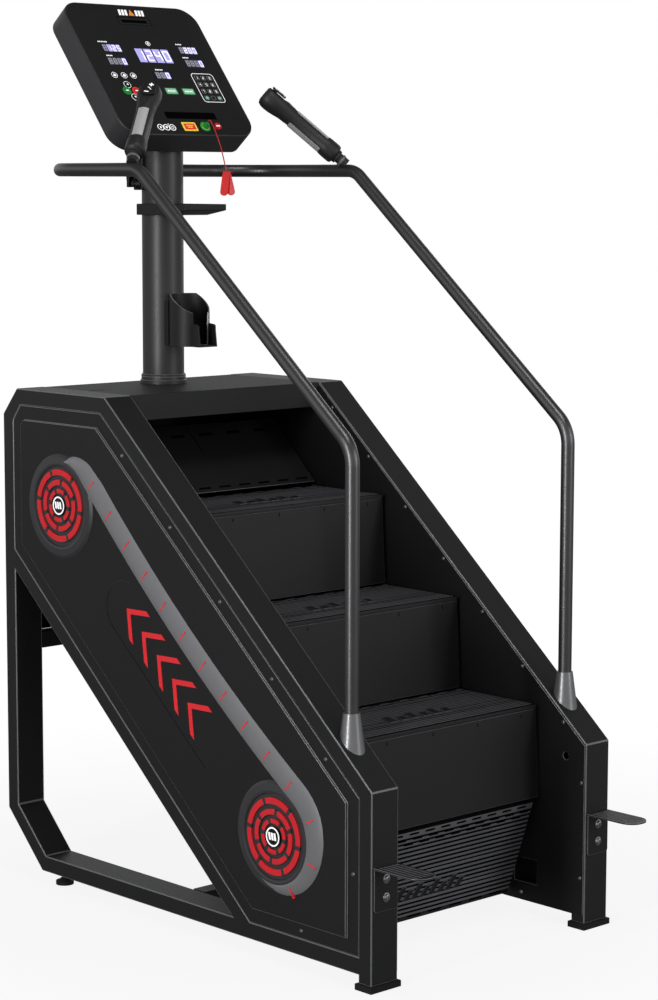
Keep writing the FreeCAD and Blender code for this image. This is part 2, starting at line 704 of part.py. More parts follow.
bezel = new_body("console_bezel")
pad(bezel, add_sketch(bezel, "XY_Plane", -dim("bezel_deep"), [panel_outline()]), "Dims.bezel_deep")
pocket(bezel, add_sketch(bezel, "XY_Plane", -dim("bezel_deep"), [panel_outline(4.0)]),
       "Dims.bezel_deep - 4", reverse=True)
pocket(bezel, add_sketch(bezel, "XY_Plane", 0.0, [rectangle(0.0, 331.0, 98.0, 26.0, 4.0)]), 2.5)
pocket(bezel, add_sketch(bezel, "XY_Plane", 0.0, [rectangle(22.0, 57.0, 148.0, 20.0, 3.0)]), 2.5)
pocket(bezel, add_sketch(bezel, "XY_Plane", 0.0, [rectangle(*window, 1.0) for window in WINDOWS]), 2.0)
key_holes = [(*place, KEY_RADIUS + 0.4) for place in KEYS.values()]
key_holes += [(*STOP_PLACE, 9.5), (*SOCKET_PLACE, 8.5)]
pocket(bezel, add_sketch(bezel, "XY_Plane", 0.0, circles=key_holes), 10.0)
keep("console_bezel", seat_on_console(bezel))

shell = new_body("console_shell")
shell_back = -dim("bezel_deep") - 0.1 - dim("shell_deep")
pad(shell, add_sketch(shell, "XY_Plane", shell_back, [panel_outline()]), "Dims.shell_deep")
pocket(shell, add_sketch(shell, "XY_Plane", -dim("bezel_deep") - 0.1, [panel_outline(3.0)]),
       "Dims.shell_deep - 3")
back_edges = []
for index, edge in enumerate(shell.Shape.Edges, start=1):
    box_of_edge = edge.BoundBox
    if abs(box_of_edge.ZMin - shell_back) < 0.01 and abs(box_of_edge.ZMax - shell_back) < 0.01:
        back_edges.append(f"Edge{index}")
shell_tip = shell.Tip
bevel = shell.newObject("PartDesign::Chamfer", "shell_bevel")
bevel.Base = (shell_tip, back_edges)
bevel.Size = 2.4
doc.recompute()
keep("console_shell", seat_on_console(shell))

windows = [seat_on_console(plate("display_window", "XY_Plane", -1.9, rectangle(x, y, w - 0.4, d - 0.4, 0.8), 1.8))
           for x, y, w, d in WINDOWS]
group("display_windows", windows)
board = plate("console_board", "XY_Plane", -22.0, rectangle(0.0, 170.0, 300.0, 220.0, 4.0), 1.6)
keep("console_board", seat_on_console(board))

mount_profile = [(POST - RADIUS, dim("post_top") + 0.1), (POST + RADIUS, dim("post_top") + 0.1),
                 (POST + RADIUS, 1764.0), (POST - RADIUS + 3.0, 1650.0)]
back_point = CONSOLE.multVec(Vector(0, 0, shell_back - 0.1))
tilt = math.radians(dim("console_tilt"))


def console_back_height(along):
    return back_point.z + (along - back_point.y) * math.tan(tilt)


mount_profile[2] = (POST + RADIUS, console_back_height(POST + RADIUS))
mount_profile[3] = (POST - RADIUS, console_back_height(POST - RADIUS))
keep("console_mount", plate("console_mount", "YZ_Plane", -46.0, mount_profile, 92.0))


def button(label, centre, radius, high, stem_radius, stem):
    """Round key: a cap above the panel on a thinner stem that runs through it."""
    cap = rod(radius, high, (*centre, dim("key_travel_gap") - 4.0), (0, 0, 1))
    post = rod(stem_radius, stem, (*centre, -4.0 - stem + dim("key_travel_gap")), (0, 0, 1))
    return keep(label, seat_on_console(fuse(cap, post)))


for label, centre in KEYS.items():
    button(label, centre, KEY_RADIUS, 4.4, 3.0, 8.0)
button("stop_button", STOP_PLACE, 9.0, 7.5, 4.0, 8.0)

socket_x, socket_y = SOCKET_PLACE
key_head = rod(8.0, 9.0, (socket_x, socket_y, -3.0), (0, 0, 1))
key_stem = rod(4.0, 12.0, (socket_x, socket_y, -14.0), (0, 0, 1))
key_grip = rod(5.0, 5.0, (socket_x, socket_y, 6.0), (0, 0, 1))
keep("safety_key", seat_on_console(fuse(key_head, key_stem, key_grip)))

# ---------------------------------------------------------------- safety cord

CORD_RADIUS = 1.3
cord_exit = CONSOLE.multVec(Vector(socket_x, socket_y, 11.0))
CORD_ROUTE = [
    cord_exit,
    Vector(44.0, 390.5, 1701.5),
    Vector(43.0, 381.5, 1699.5),
    Vector(48.0, 375.5, 1683.5),
    Vector(55.5, 372.0, 1662.0),
    Vector(63.5, 369.0, 1638.0),
    Vector(69.5, 367.0, 1613.0),
    Vector(75.5, 365.5, 1587.0),
]


def rounded_wire(route):
    """Straight runs joined by tangent arcs, each as large as its two runs allow."""
    edges = []
    start = route[0]
    radii = []
    for before, here, after in zip(route, route[1:], route[2:]):
        back = (before - here)
        ahead = (after - here)
        turn = math.pi - back.getAngle(ahead)
        radius = 0.45 * min(back.Length, ahead.Length) / math.tan(turn / 2)
        radii.append(radius)
        reach = radius * math.tan(turn / 2)
        back_unit = Vector(back).normalize()
        ahead_unit = Vector(ahead).normalize()
        bisector = (back_unit + ahead_unit).normalize()
        arc_start = here + back_unit * reach
        arc_end = here + ahead_unit * reach
        middle = here + bisector * (radius / math.cos(turn / 2) - radius)
        edges.append(Part.LineSegment(start, arc_start).toShape())
        edges.append(Part.Arc(arc_start, middle, arc_end).toShape())
        start = arc_end
    edges.append(Part.LineSegment(start, route[-1]).toShape())
    return Part.Wire(edges), radii


cord_path, cord_radii = rounded_wire(CORD_ROUTE)
print("cord radii", [round(radius, 1) for radius in cord_radii])
cord_circle = Part.Wire([Part.Circle(cord_exit, CORD_ROUTE[1] - CORD_ROUTE[0], CORD_RADIUS).toShape()])
cord_shape = cord_path.makePipeShell([cord_circle], True, False)
cord_share = cord_shape.Volume / (math.pi * CORD_RADIUS ** 2 * cord_path.Length)
print("cord length", round(cord_path.Length, 1), "volume share", round(cord_share, 4))
cord = doc.addObject("Part::Feature", "safety_cord")
cord.Shape = cord_shape
keep("safety_cord", cord)

clip_top = CORD_ROUTE[-1]
clip_leaves = []
for lean, twist, shift in ((7.0, -28.0, Vector(-3.0, -3.0, 0)), (-13.0, -58.0, Vector(3.0, 2.0, 0))):
    leaf = plate("clip_leaf", "XZ_Plane", 0.0,
                 [(-8.5, 0.0, 4.0), (8.5, 0.0, 4.0), (9.0, -54.0, 8.0), (-9.0, -54.0, 8.0)], 3.0)
    turn = Rotation(Vector(0, 0, 1), twist).multiply(Rotation(Vector(0, 1, 0), lean))
    leaf.Placement = Placement(clip_top + shift, turn)
    clip_leaves.append(leaf)
hinge_pin = rod(4.5, 9.0, tuple(clip_top + Vector(0.0, 0.0, -9.0)), (0, 0, 1))
clip = fuse(*clip_leaves, hinge_pin)
keep("cord_clip", clip)

# ---------------------------------------------------------------- grips

GRIP_BASE = Vector(300.0, 229.6, 1613.5)
GRIP_TIP = Vector(163.0, 337.0, 1761.0)


WELL_FLOOR = 17.5


def switch_frame(side, axis):
    """The way a grip's switch faces, square to the grip, and the rotation that takes Y there."""
    toward = Vector(side * 0.7, -0.7, 0.2)
    facing = (toward - axis * toward.dot(axis)).normalize()
    return facing, Rotation(facing.cross(axis), facing, axis, "ZYX")


def make_grip(side, label):
    """Moulded grip on a short stub that rises from the rail's upper bend."""
    base = Vector(side * GRIP_BASE.x, GRIP_BASE.y, GRIP_BASE.z)
    tip = Vector(side * GRIP_TIP.x, GRIP_TIP.y, GRIP_TIP.z)
    axis = (tip - base).normalize()
    stub = rod(12.0, 44.0, tuple(base - axis * 16.0), tuple(axis))
    collar = rod(15.5, 10.0, tuple(base + axis * 8.0), tuple(axis))
    handle = rod(dim("grip_radius"), (tip - base).Length - 24.0, tuple(base + axis * 16.0), tuple(axis),
                 [("Radius", "Dims.grip_radius")])
    head = rod(dim("grip_head_radius"), 30.0, tuple(tip - axis * 30.0), tuple(axis),
               [("Radius", "Dims.grip_head_radius")])
    rail_space = rod(dim("rail_tube") / 2 + 0.1, 400.0, (side * rail_x, 196.0, RAIL), (0, 1, 0))
    facing, turn = switch_frame(side, axis)
    well = box((18.0, 30.0, 22.0),
               Placement(tip + turn.multVec(Vector(-9.0, WELL_FLOOR, -26.0)), turn))
    keep(label, cut(fuse(stub, collar, handle, head), rail_space, well))
    return base, tip, axis, turn


GRIP_SIDES = {"left": make_grip(-1, "grip_left"), "right": make_grip(1, "grip_right")}
sensors = []
for side, (base, tip, axis, turn) in GRIP_SIDES.items():
    start = base + axis * 62.0
    strip = rod(dim("grip_radius") + 1.2, 92.0, tuple(start), tuple(axis))
    core = rod(dim("grip_radius") + 0.05, 120.0, tuple(start - axis * 10.0), tuple(axis))
    sleeve = cut(strip, core)
    for near_edge in (8.0, -38.0):
        window = box((26.0, 30.0, 92.0), Placement(start + turn.multVec(Vector(-13.0, near_edge, 0.0)), turn))
        plate_piece = doc.addObject("Part::Common", "SensorPlate")
        plate_piece.Base, plate_piece.Tool = sleeve, window
        sensors.append(plate_piece)
group("grip_sensors", sensors)

for side, (base, tip, axis, turn) in GRIP_SIDES.items():
    place = Placement(tip + turn.multVec(Vector(-8.0, WELL_FLOOR + 1.0, -25.0)), turn)
    keep(f"rocker_{side}", box((16.0, 8.0, 20.0), place))

# ---------------------------------------------------------------- staircase


def tread_profile():
    """Section of a ribbed tread: nosing at the origin, depth along +Y, ribs on top."""
    depth = dim("tread_depth")
    thick = dim("tread_thick")
    pitch = dim("rib_pitch")
    groove = dim("rib_depth")
    top = []
    count = int((depth - 14.0) // pitch)
    for index in range(count):
        start = depth - 8.0 - pitch * index
        top += [(start, 0.0), (start - pitch * 0.6, 0.0),
                (start - pitch * 0.68, -groove), (start - pitch * 0.92, -groove)]
    return [(0.0, 0.0), (0.0, -9.0), (5.0, -9.0), (5.0, -thick), (depth, -thick), (depth, 0.0), *top]


def make_tread(label, place):
    body = new_body(label)
    half = dim("step_width") / 2
    pad(body, add_sketch(body, "YZ_Plane", -half, [tread_profile()]), "Dims.step_width")
    under = [(-half + 12.0, 14.0), (half - 12.0, 14.0), (half - 12.0, dim("tread_depth") - 10.0),
             (-half + 12.0, dim("tread_depth") - 10.0)]
    pocket(body, add_sketch(body, "XY_Plane", -dim("tread_thick"), [under]), 16.0, reverse=True)
    body.Placement = place
    return body


def nosing(step):
    return Vector(0, dim("nosing_front") + dim("step_run") * step, dim("nosing_height") + dim("step_rise") * step)


RISER_LEAN = 9.0


def make_riser(label, top, bottom):
    """Pressed riser plate between two points of the section."""
    gauge = dim("riser_gauge")
    half = dim("step_width") / 2
    outline = [(top.y, top.z), (bottom.y, bottom.z), (bottom.y + gauge, bottom.z), (top.y + gauge, top.z)]
    return plate(label, "YZ_Plane", -half, outline, "Dims.step_width")


STEP_NAMES = {-1: "lower", 0: "middle", 1: "upper"}
risers = []
for step, name in STEP_NAMES.items():
    edge = nosing(step)
    keep(f"tread_{name}", make_tread(f"tread_{name}", Placement(edge, Rotation())))
    top = edge + Vector(0, 1.5, -9.5)
    bottom = edge + Vector(0, -RISER_LEAN, -dim("step_rise") + 4.0)
    risers.append(make_riser("riser", top, bottom))
top_start = nosing(1) + Vector(0, dim("tread_depth") + 2.0, 8.0)
top_riser = box((dim("step_width"), 198.0, 3.0),
                Placement(Vector(-dim("step_width") / 2, top_start.y, top_start.z),
                          Rotation(Vector(1, 0, 0), dim("pitch_angle") + 1.7)),
                [("Length", "Dims.step_width"), ("Height", "Dims.riser_gauge")])
risers.append(top_riser)
group("step_risers", risers)

turning_place = Placement(Vector(0, -340.0, 40.0), Rotation(Vector(1, 0, 0), 108.4))
keep("turning_tread", make_tread("turning_tread", turning_place))

returns = []
for index in range(3):
    corner = LOWER_SHAFT + UP_SLOPE * (205.0 + 262.0 * index) - OFF_SLOPE * 122.0
    returns.append(make_tread("return_tread", Placement(
        corner + UP_SLOPE * 215.0 - OFF_SLOPE * 5.0,
        Rotation(Vector(1, 0, 0), dim("pitch_angle") + 180.0 + 18.0))))
group("return_steps", returns)

# ---------------------------------------------------------------- drive

CHAIN_INNER = dim("step_width") / 2 + 2.0


def make_shaft(label, centre, pulley_radius):
    """Steel shaft with its two sprockets and, on the upper one, the belt pulley."""
    half = dim("shaft_length") / 2
    parts = [rod(dim("shaft_radius"), dim("shaft_length"), (-half, centre.y, centre.z), (1, 0, 0),
                 [("Radius", "Dims.shaft_radius"), ("Height", "Dims.shaft_length")])]
    for side in (-1, 1):
        start = CHAIN_INNER if side > 0 else -CHAIN_INNER - dim("chain_wide")
        parts.append(rod(dim("sprocket_radius"), dim("chain_wide"), (start, centre.y, centre.z), (1, 0, 0),
                         [("Radius", "Dims.sprocket_radius"), ("Height", "Dims.chain_wide")]))
    if pulley_radius:
        parts.append(rod(pulley_radius, 20.0, (-240.0, centre.y, centre.z), (1, 0, 0)))
    return keep(label, fuse(*parts))


PULLEY = 64.0
SMALL_PULLEY = 20.0
make_shaft("lower_shaft", LOWER_SHAFT, 0.0)
make_shaft("upper_shaft", UPPER_SHAFT, PULLEY)

blocks = []
for centre in (LOWER_SHAFT, UPPER_SHAFT):
    for side in (-1, 1):
        start = INNER + 0.1 if side > 0 else -INNER - 24.1
        block = box((24.0, 84.0, 84.0), Placement(Vector(start, centre.y - 42.0, centre.z - 42.0), Rotation()))
        seat = rod(dim("shaft_radius") + 0.1, 40.0, (start - 8.0, centre.y, centre.z), (1, 0, 0))
        blocks.append(cut(block, seat))
group("bearing_blocks", blocks)


def stadium(start, end, radius_start, radius_end):
    """Outline round two circles that a belt or chain wraps."""
    span = (end - start).Length
    along = (end - start).normalize()
    normal = Vector(-along.y, along.x, 0)
    lean = math.asin((radius_start - radius_end) / span)
    up = normal * math.cos(lean) + along * math.sin(lean)
    down = normal * -math.cos(lean) + along * math.sin(lean)
    first = start + up * radius_start
    second = end + up * radius_end
    third = end + down * radius_end
    fourth = start + down * radius_start
    wire = [Part.LineSegment(first, second), Part.Arc(second, end + along * radius_end, third),
            Part.LineSegment(third, fourth), Part.Arc(fourth, start - along * radius_start, first)]
    return wire


def loop(label, start, end, radii, thick, offset, wide):
    """A closed belt or chain: the space between two stadium outlines, padded once."""
    body = new_body(label)
    sketch = add_sketch(body, "YZ_Plane", offset)
    flat_start, flat_end = Vector(start.y, start.z, 0), Vector(end.y, end.z, 0)
    for growth in (0.0, thick):
        for piece in stadium(flat_start, flat_end, radii[0] + growth, radii[1] + growth):
            sketch.addGeometry(piece, False)
    pad(body, sketch, wide)
    return body


depth = dim("chain_half_depth")
pitch_radius = dim("chain_pitch_radius")
chains = []
for offset in (CHAIN_INNER, -CHAIN_INNER - dim("chain_wide")):
    chains.append(loop("step_chain", LOWER_SHAFT, UPPER_SHAFT, (pitch_radius - depth,) * 2, 2 * depth, offset,
                       "Dims.chain_wide"))
group("step_chains", chains)

BRAKE = LOWER_SHAFT + UP_SLOPE * 380.0
keep("drive_belt", loop("drive_belt", UPPER_SHAFT, BRAKE, (PULLEY + 0.3, SMALL_PULLEY + 0.3), 4.0, -239.0, 18.0))
rotor = fuse(rod(10.0, 220.0, (-244.0, BRAKE.y, BRAKE.z), (1, 0, 0)),
             rod(SMALL_PULLEY, 20.0, (-240.0, BRAKE.y, BRAKE.z), (1, 0, 0)),
             rod(70.0, 30.0, (-120.0, BRAKE.y, BRAKE.z), (1, 0, 0)))
keep("brake_rotor", rotor)
bar_centre = BRAKE - UP_SLOPE * 130.0
bar = box((2 * WELL_HALF, 40.0, 40.0),
          Placement(bar_centre + Vector(-WELL_HALF, 0, 0) - UP_SLOPE * 20.0 - OFF_SLOPE * 20.0,
                    Rotation(Vector(1, 0, 0), dim("pitch_angle"))))
cheeks = []
for start in (-200.0, -60.0):
    plate_body = box((10.0, 150.0, 60.0),
                     Placement(bar_centre + Vector(start, 0, 0) + UP_SLOPE * 19.0 - OFF_SLOPE * 30.0,
                               Rotation(Vector(1, 0, 0), dim("pitch_angle"))))
    cheeks.append(plate_body)
bearing = rod(10.1, 400.0, (-300.0, BRAKE.y, BRAKE.z), (1, 0, 0))
keep("brake_housing", cut(fuse(bar, *cheeks), bearing))

# ---------------------------------------------------------------- rear levelling feet

for side, label in ((-1, "rear_foot_left"), (1, "rear_foot_right")):
    place = (side * rail_x, FOOT_PLACE)
    disc = rod(dim("foot_radius"), 8.0, (*place, 0.0), (0, 0, 1), [("Radius", "Dims.foot_radius")])
    taper = cone(dim("foot_radius") - 4.0, 9.0, 6.0, (*place, 8.0), (0, 0, 1))
    stud = rod(6.0, RAIL_TOP - 22.0, (*place, 14.0), (0, 0, 1))
    keep(label, fuse(disc, taper, stud))

# ---------------------------------------------------------------- checks and export

doc.recompute()
faults = []
for obj in doc.Objects:
    if "Invalid" in obj.State or "Error" in obj.State:
        faults.append(f"{obj.Name} ({obj.Label}): {obj.State}")
for label, obj in nodes.items():
    shape = obj.Shape
    if shape.isNull() or not shape.isValid() or not shape.Solids or shape.Volume <= 0:
        faults.append(f"{label}: no valid solid")
if faults:
    raise RuntimeError("; ".join(faults))

os.makedirs("parts", exist_ok=True)
for label, obj in nodes.items():
    obj.Shape.exportStep(f"parts/{label}.step")
print(len(nodes), "sub-parts")
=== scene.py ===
import json
import math

import bmesh
import bpy
from mathutils import Matrix, Vector

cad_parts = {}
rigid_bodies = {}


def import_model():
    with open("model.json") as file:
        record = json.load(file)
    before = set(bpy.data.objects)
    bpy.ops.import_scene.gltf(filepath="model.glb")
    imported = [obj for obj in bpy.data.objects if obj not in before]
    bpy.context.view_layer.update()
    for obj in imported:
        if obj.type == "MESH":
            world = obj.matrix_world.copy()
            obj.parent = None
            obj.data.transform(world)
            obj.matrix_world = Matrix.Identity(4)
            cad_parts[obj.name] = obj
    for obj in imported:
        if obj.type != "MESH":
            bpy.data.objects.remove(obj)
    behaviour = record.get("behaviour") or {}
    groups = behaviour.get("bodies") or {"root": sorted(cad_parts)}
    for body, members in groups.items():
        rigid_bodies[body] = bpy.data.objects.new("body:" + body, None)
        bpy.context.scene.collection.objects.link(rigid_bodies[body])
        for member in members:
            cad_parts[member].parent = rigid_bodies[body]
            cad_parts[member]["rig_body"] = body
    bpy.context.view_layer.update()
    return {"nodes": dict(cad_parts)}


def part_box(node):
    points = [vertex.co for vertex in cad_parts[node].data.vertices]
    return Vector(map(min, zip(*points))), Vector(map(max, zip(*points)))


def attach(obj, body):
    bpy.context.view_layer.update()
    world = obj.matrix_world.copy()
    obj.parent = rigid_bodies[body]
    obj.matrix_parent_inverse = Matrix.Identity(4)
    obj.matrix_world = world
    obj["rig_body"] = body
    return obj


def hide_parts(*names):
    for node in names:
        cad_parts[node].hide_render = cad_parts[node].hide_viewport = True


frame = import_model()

MM = 0.001
NODES = frame["nodes"]

# Leading sizes of the machine, in millimetres. X is across, Y runs from the entry to the console.
INNER_FACE = 276.0
PITCH = math.radians(40.84)
LOWER_SHAFT = (-275.0, 262.0)
SHAFT_SPACING = 922.0
COVER_FACE = 353.0
POST_Y = 499.0
POST_RADIUS = 47.0
DECK_TOP = 1110.0
RAIL_X = 312.0
RAIL_TUBE = 28.5
RAIL_HEIGHT = 1589.5
CONSOLE_TILT = math.radians(51.4)


def at(x, y, z):
    """A point given in millimetres."""
    return Vector((x, y, z)) * MM


CONSOLE = Matrix.Translation(at(0, 389, 1666.5)) @ Matrix.Rotation(CONSOLE_TILT, 4, "X")

# ---------------------------------------------------------------- camera

camera_data = bpy.data.cameras.new("camera")
camera_data.lens = 91.21
camera = bpy.data.objects.new("camera", camera_data)
bpy.context.scene.collection.objects.link(camera)
camera.location = (-3.6648, -3.9686, 1.5697)
yaw, nod, roll = 0.7524, -0.1258, 0.0022
camera.rotation_mode = "XYZ"
camera.matrix_world = (Matrix.Translation(camera.location) @ Matrix.Rotation(-yaw, 4, "Z")
                       @ Matrix.Rotation(math.pi / 2 + nod, 4, "X") @ Matrix.Rotation(roll, 4, "Z"))
bpy.context.scene.camera = camera

# ---------------------------------------------------------------- materials


def linear(code, alpha=1.0):
    """An sRGB hex colour as the linear values that shaders take."""
    parts = [int(code[i:i + 2], 16) / 255 for i in (1, 3, 5)]
    return (*(p / 12.92 if p <= 0.04045 else ((p + 0.055) / 1.055) ** 2.4 for p in parts), alpha)


def add(tree, kind, inputs=None, **settings):
    """One shader node with its settings, its values and its links."""
    node = tree.nodes.new(kind)
    for name, value in settings.items():
        setattr(node, name, value)
    for name, value in (inputs or {}).items():
        if isinstance(value, bpy.types.NodeSocket):
            tree.links.new(value, node.inputs[name])
        else:
            node.inputs[name].default_value = value
    return node


def start(name):
    """An empty material and its node tree, with object coordinates in millimetres."""
    material = bpy.data.materials.new(name)
    material.use_nodes = True
    tree = material.node_tree
    tree.nodes.clear()
    place = add(tree, "ShaderNodeTexCoord")
    scale = add(tree, "ShaderNodeVectorMath", {0: place.outputs["Object"], 1: (1000, 1000, 1000)},
                operation="MULTIPLY")
    return material, tree, scale.outputs["Vector"]


def end(tree, shader):
    add(tree, "ShaderNodeOutputMaterial", {"Surface": shader.outputs[0]})


def coated(name, dark, light, cloud=140.0, grain=3.0, rough=(0.4, 0.55), bump=0.12, metal=0.0,
           specular=0.5, coat=0.0):
    """A finish with two close tones in soft clouds, a grain in its bump and uneven gloss.

    cloud and grain are sizes in millimetres. A real grain is near 0.3 mm and is drawn about ten times
    coarser, so that it shows.
    """
    material, tree, mm = start(name)
    clouds = add(tree, "ShaderNodeTexNoise", {"Vector": mm, "Scale": 1 / cloud,
                                              "Detail": 4.0, "Roughness": 0.6})
    grains = add(tree, "ShaderNodeTexNoise", {"Vector": mm, "Scale": 1 / grain,
                                              "Detail": 2.0, "Roughness": 0.55})
    colour = add(tree, "ShaderNodeMix", {0: clouds.outputs["Fac"], 6: linear(dark), 7: linear(light)},
                 data_type="RGBA")
    gloss = add(tree, "ShaderNodeMapRange", {"Value": grains.outputs["Fac"], "From Min": 0.3,
                                             "From Max": 0.7, "To Min": rough[0], "To Max": rough[1]})
    relief = add(tree, "ShaderNodeBump", {"Height": grains.outputs["Fac"], "Strength": bump,
                                          "Distance": 0.0004})
    shader = add(tree, "ShaderNodeBsdfPrincipled", {
        "Base Color": colour.outputs[2], "Roughness": gloss.outputs["Result"],
        "Normal": relief.outputs["Normal"], "Metallic": metal, "Specular IOR Level": specular,
        "Coat Weight": coat, "Coat Roughness": 0.15})
    end(tree, shader)
    return material


def drawn_metal(name, tone, rough, along, line=1.6, metal=1.0):
    """Metal with fine lines that run one way, from brushing or drawing; along stretches them.

    line is their spacing in millimetres, about ten times the real one, so that they show.
    """
    material, tree, mm = start(name)
    stretched = add(tree, "ShaderNodeVectorMath", {0: mm, 1: along}, operation="MULTIPLY")
    lines = add(tree, "ShaderNodeTexNoise", {"Vector": stretched.outputs["Vector"], "Scale": 1 / line,
                                             "Detail": 3.0, "Roughness": 0.7})
    gloss = add(tree, "ShaderNodeMapRange", {"Value": lines.outputs["Fac"], "From Min": 0.3,
                                             "From Max": 0.7, "To Min": rough - 0.08, "To Max": rough + 0.1})
    relief = add(tree, "ShaderNodeBump", {"Height": lines.outputs["Fac"], "Strength": 0.15,
                                          "Distance": 0.0002})
    tint = add(tree, "ShaderNodeHueSaturation", {"Color": linear(tone), "Value": 1.0})
    shade = add(tree, "ShaderNodeMapRange", {"Value": lines.outputs["Fac"], "From Min": 0.2,
                                             "From Max": 0.8, "To Min": 0.85, "To Max": 1.15})
    tree.links.new(shade.outputs["Result"], tint.inputs["Value"])
    shader = add(tree, "ShaderNodeBsdfPrincipled", {
        "Base Color": tint.outputs["Color"], "Metallic": metal, "Roughness": gloss.outputs["Result"],
        "Normal": relief.outputs["Normal"]})
    end(tree, shader)
    return material


def printed(name, ink, rough=0.45, glow=0.0):
    """Screen-printed ink or a lit segment: one colour, slightly uneven where the ink lies thin; glow makes it
    give off light, which is painted light on inks and keys.
    """
    material, tree, mm = start(name)
    mottle = add(tree, "ShaderNodeTexNoise", {"Vector": mm, "Scale": 1 / 5.0, "Detail": 2.0})
    value = add(tree, "ShaderNodeMapRange", {"Value": mottle.outputs["Fac"], "From Min": 0.3,
                                             "From Max": 0.7, "To Min": 0.92, "To Max": 1.05})
    tint = add(tree, "ShaderNodeHueSaturation", {"Color": linear(ink), "Value": value.outputs["Result"]})
    shader = add(tree, "ShaderNodeBsdfPrincipled", {
        "Base Color": tint.outputs["Color"], "Roughness": rough, "Emission Color": linear(ink),
        "Emission Strength": glow})
    end(tree, shader)
    return material


def braided(name, ink, strand=1.2):
    """A woven cord: two sets of slanting threads that cross round it, strand millimetres apart."""
    material, tree, mm = start(name)
    waves = [add(tree, "ShaderNodeTexWave", {"Vector": mm, "Scale": 1 / strand, "Distortion": 0.6},
                 bands_direction=way) for way in ("DIAGONAL", "Z")]
    weave = add(tree, "ShaderNodeMath", {0: waves[0].outputs["Fac"], 1: waves[1].outputs["Fac"]},
                operation="MULTIPLY")
    shade = add(tree, "ShaderNodeMapRange", {"Value": weave.outputs["Value"], "To Min": 0.75, "To Max": 1.15})
    tint = add(tree, "ShaderNodeHueSaturation", {"Color": linear(ink), "Value": shade.outputs["Result"]})
    relief = add(tree, "ShaderNodeBump", {"Height": weave.outputs["Value"], "Strength": 0.5,
                                          "Distance": 0.0003})
    shader = add(tree, "ShaderNodeBsdfPrincipled", {
        "Base Color": tint.outputs["Color"], "Roughness": 0.7, "Sheen Weight": 0.3,
        "Normal": relief.outputs["Normal"]})
    end(tree, shader)
    return material


# Powder coat: polyester paint baked on steel, satin, with a faint orange peel that softens reflections.
frame_coat = coated("powder_coated_steel_frame", "#141415", "#1a1a1b", rough=(0.38, 0.5), bump=0.1,
                    specular=0.5)
cover_coat = coated("powder_coated_steel_cover", "#131213", "#191818", cloud=260.0, rough=(0.42, 0.56),
                    bump=0.08, specular=0.45)
sheet_coat = coated("powder_coated_steel_sheet", "#111112", "#171718", rough=(0.4, 0.52), bump=0.1,
                    specular=0.4)
deck_coat = coated("powder_coated_steel_deck", "#1b1b1a", "#232221", rough=(0.48, 0.6), bump=0.14,
                   specular=0.35)
# Painted highlight: a light, glossy copy of the coat laid on rounded edges, standing in for the light they
# catch.
edge_highlight_paint = coated("painted_edge_highlight", "#6e6e70", "#8c8c8f", cloud=50.0, rough=(0.25, 0.36),
                   bump=0.02, metal=0.3, specular=0.6)
# Tube with a metallic charcoal coat: dark, with long soft highlights along its length.
rail_coat = coated("metallic_charcoal_tube", "#5e5e5f", "#6a6a6b", cloud=90.0, rough=(0.35, 0.38), bump=0.0,
                   metal=0.9, specular=0.6)
cone_coat = coated("satin_grey_steel_cone", "#808081", "#8e8e8f", cloud=60.0, rough=(0.3, 0.38), bump=0.01,
                   metal=0.65, specular=0.5)
post_coat = coated("powder_coated_post", "#454545", "#505050", cloud=200.0, rough=(0.4, 0.48), bump=0.02,
                   metal=0.75, specular=0.5)
# Aluminium treads, black anodised: a dry black. The up-facing rib tops are lighter, partly rubbed by shoes and
# partly a painted highlight where they face the light.
tread_black = coated("black_anodised_aluminium", "#161617", "#1f1f20", cloud=120.0, rough=(0.36, 0.5),
                     bump=0.12, specular=0.5)
rib_wear_and_highlight = coated("rubbed_and_highlit_anodised_ribs", "#58585b", "#6e6e72", cloud=70.0, rough=(0.3, 0.42),
                   bump=0.15, metal=0.2, specular=0.6)
# The tread that turns under the lowest step: its ribs face down, away from the lamps, and their bright tone is
# painted light that stands in for the light they don't get.
turning_ribs_painted_light = coated("painted_light_turning_ribs", "#747478", "#909095", cloud=60.0, rough=(0.36, 0.46), bump=0.05,
                     metal=0.3, specular=0.6)
# Painted shade: a near-black for the bottoms of the tread's grooves, standing in for the shade that falls in
# them.
groove_painted_shade = coated("painted_groove_shade", "#060606", "#0b0b0b", rough=(0.7, 0.9), bump=0.1, specular=0.1)
riser_black = coated("black_coated_aluminium_sheet", "#131314", "#191919", cloud=220.0, rough=(0.42, 0.55),
                     bump=0.08, specular=0.45)
# Metallic grey enamel on the raised edge of the cover: an even satin that catches the light.
band_grey = coated("metallic_grey_enamel", "#828285", "#8e8e91", cloud=60.0, rough=(0.34, 0.44), bump=0.04,
                   metal=0.25, specular=0.5)
# ABS housings: moulded with a fine spark-eroded grain.
abs_black = coated("moulded_abs_black", "#131314", "#18181a", cloud=80.0, grain=2.0, rough=(0.42, 0.58),
                   bump=0.2, specular=0.4)
# Painted light: a lighter copy of the black ABS for the console's sides and back shell, standing in for the
# light that falls on them.
abs_painted_light_side = coated("moulded_abs_painted_lighter_side", "#2c2c2e", "#363638", cloud=80.0, grain=2.0, rough=(0.38, 0.52),
                  bump=0.2, specular=0.5)
# Grey and gloss ABS for grilles, caps and inserts: the same resin, lighter or out of a polished mould.
abs_grey = coated("moulded_abs_grey", "#333335", "#3d3d3f", cloud=60.0, grain=2.0, rough=(0.38, 0.5),
                  bump=0.12, specular=0.5)
gloss_black = coated("glossy_abs_black", "#0b0b0c", "#111112", cloud=40.0, grain=4.0, rough=(0.12, 0.2),
                     bump=0.02, coat=0.4)
# Painted shade: a near-black for the dark inside open slots and gaps, where next to no light comes back.
painted_gap_shade = coated("open_slot_shadow", "#030303", "#060606", rough=(0.85, 0.95), bump=0.05, specular=0.03)
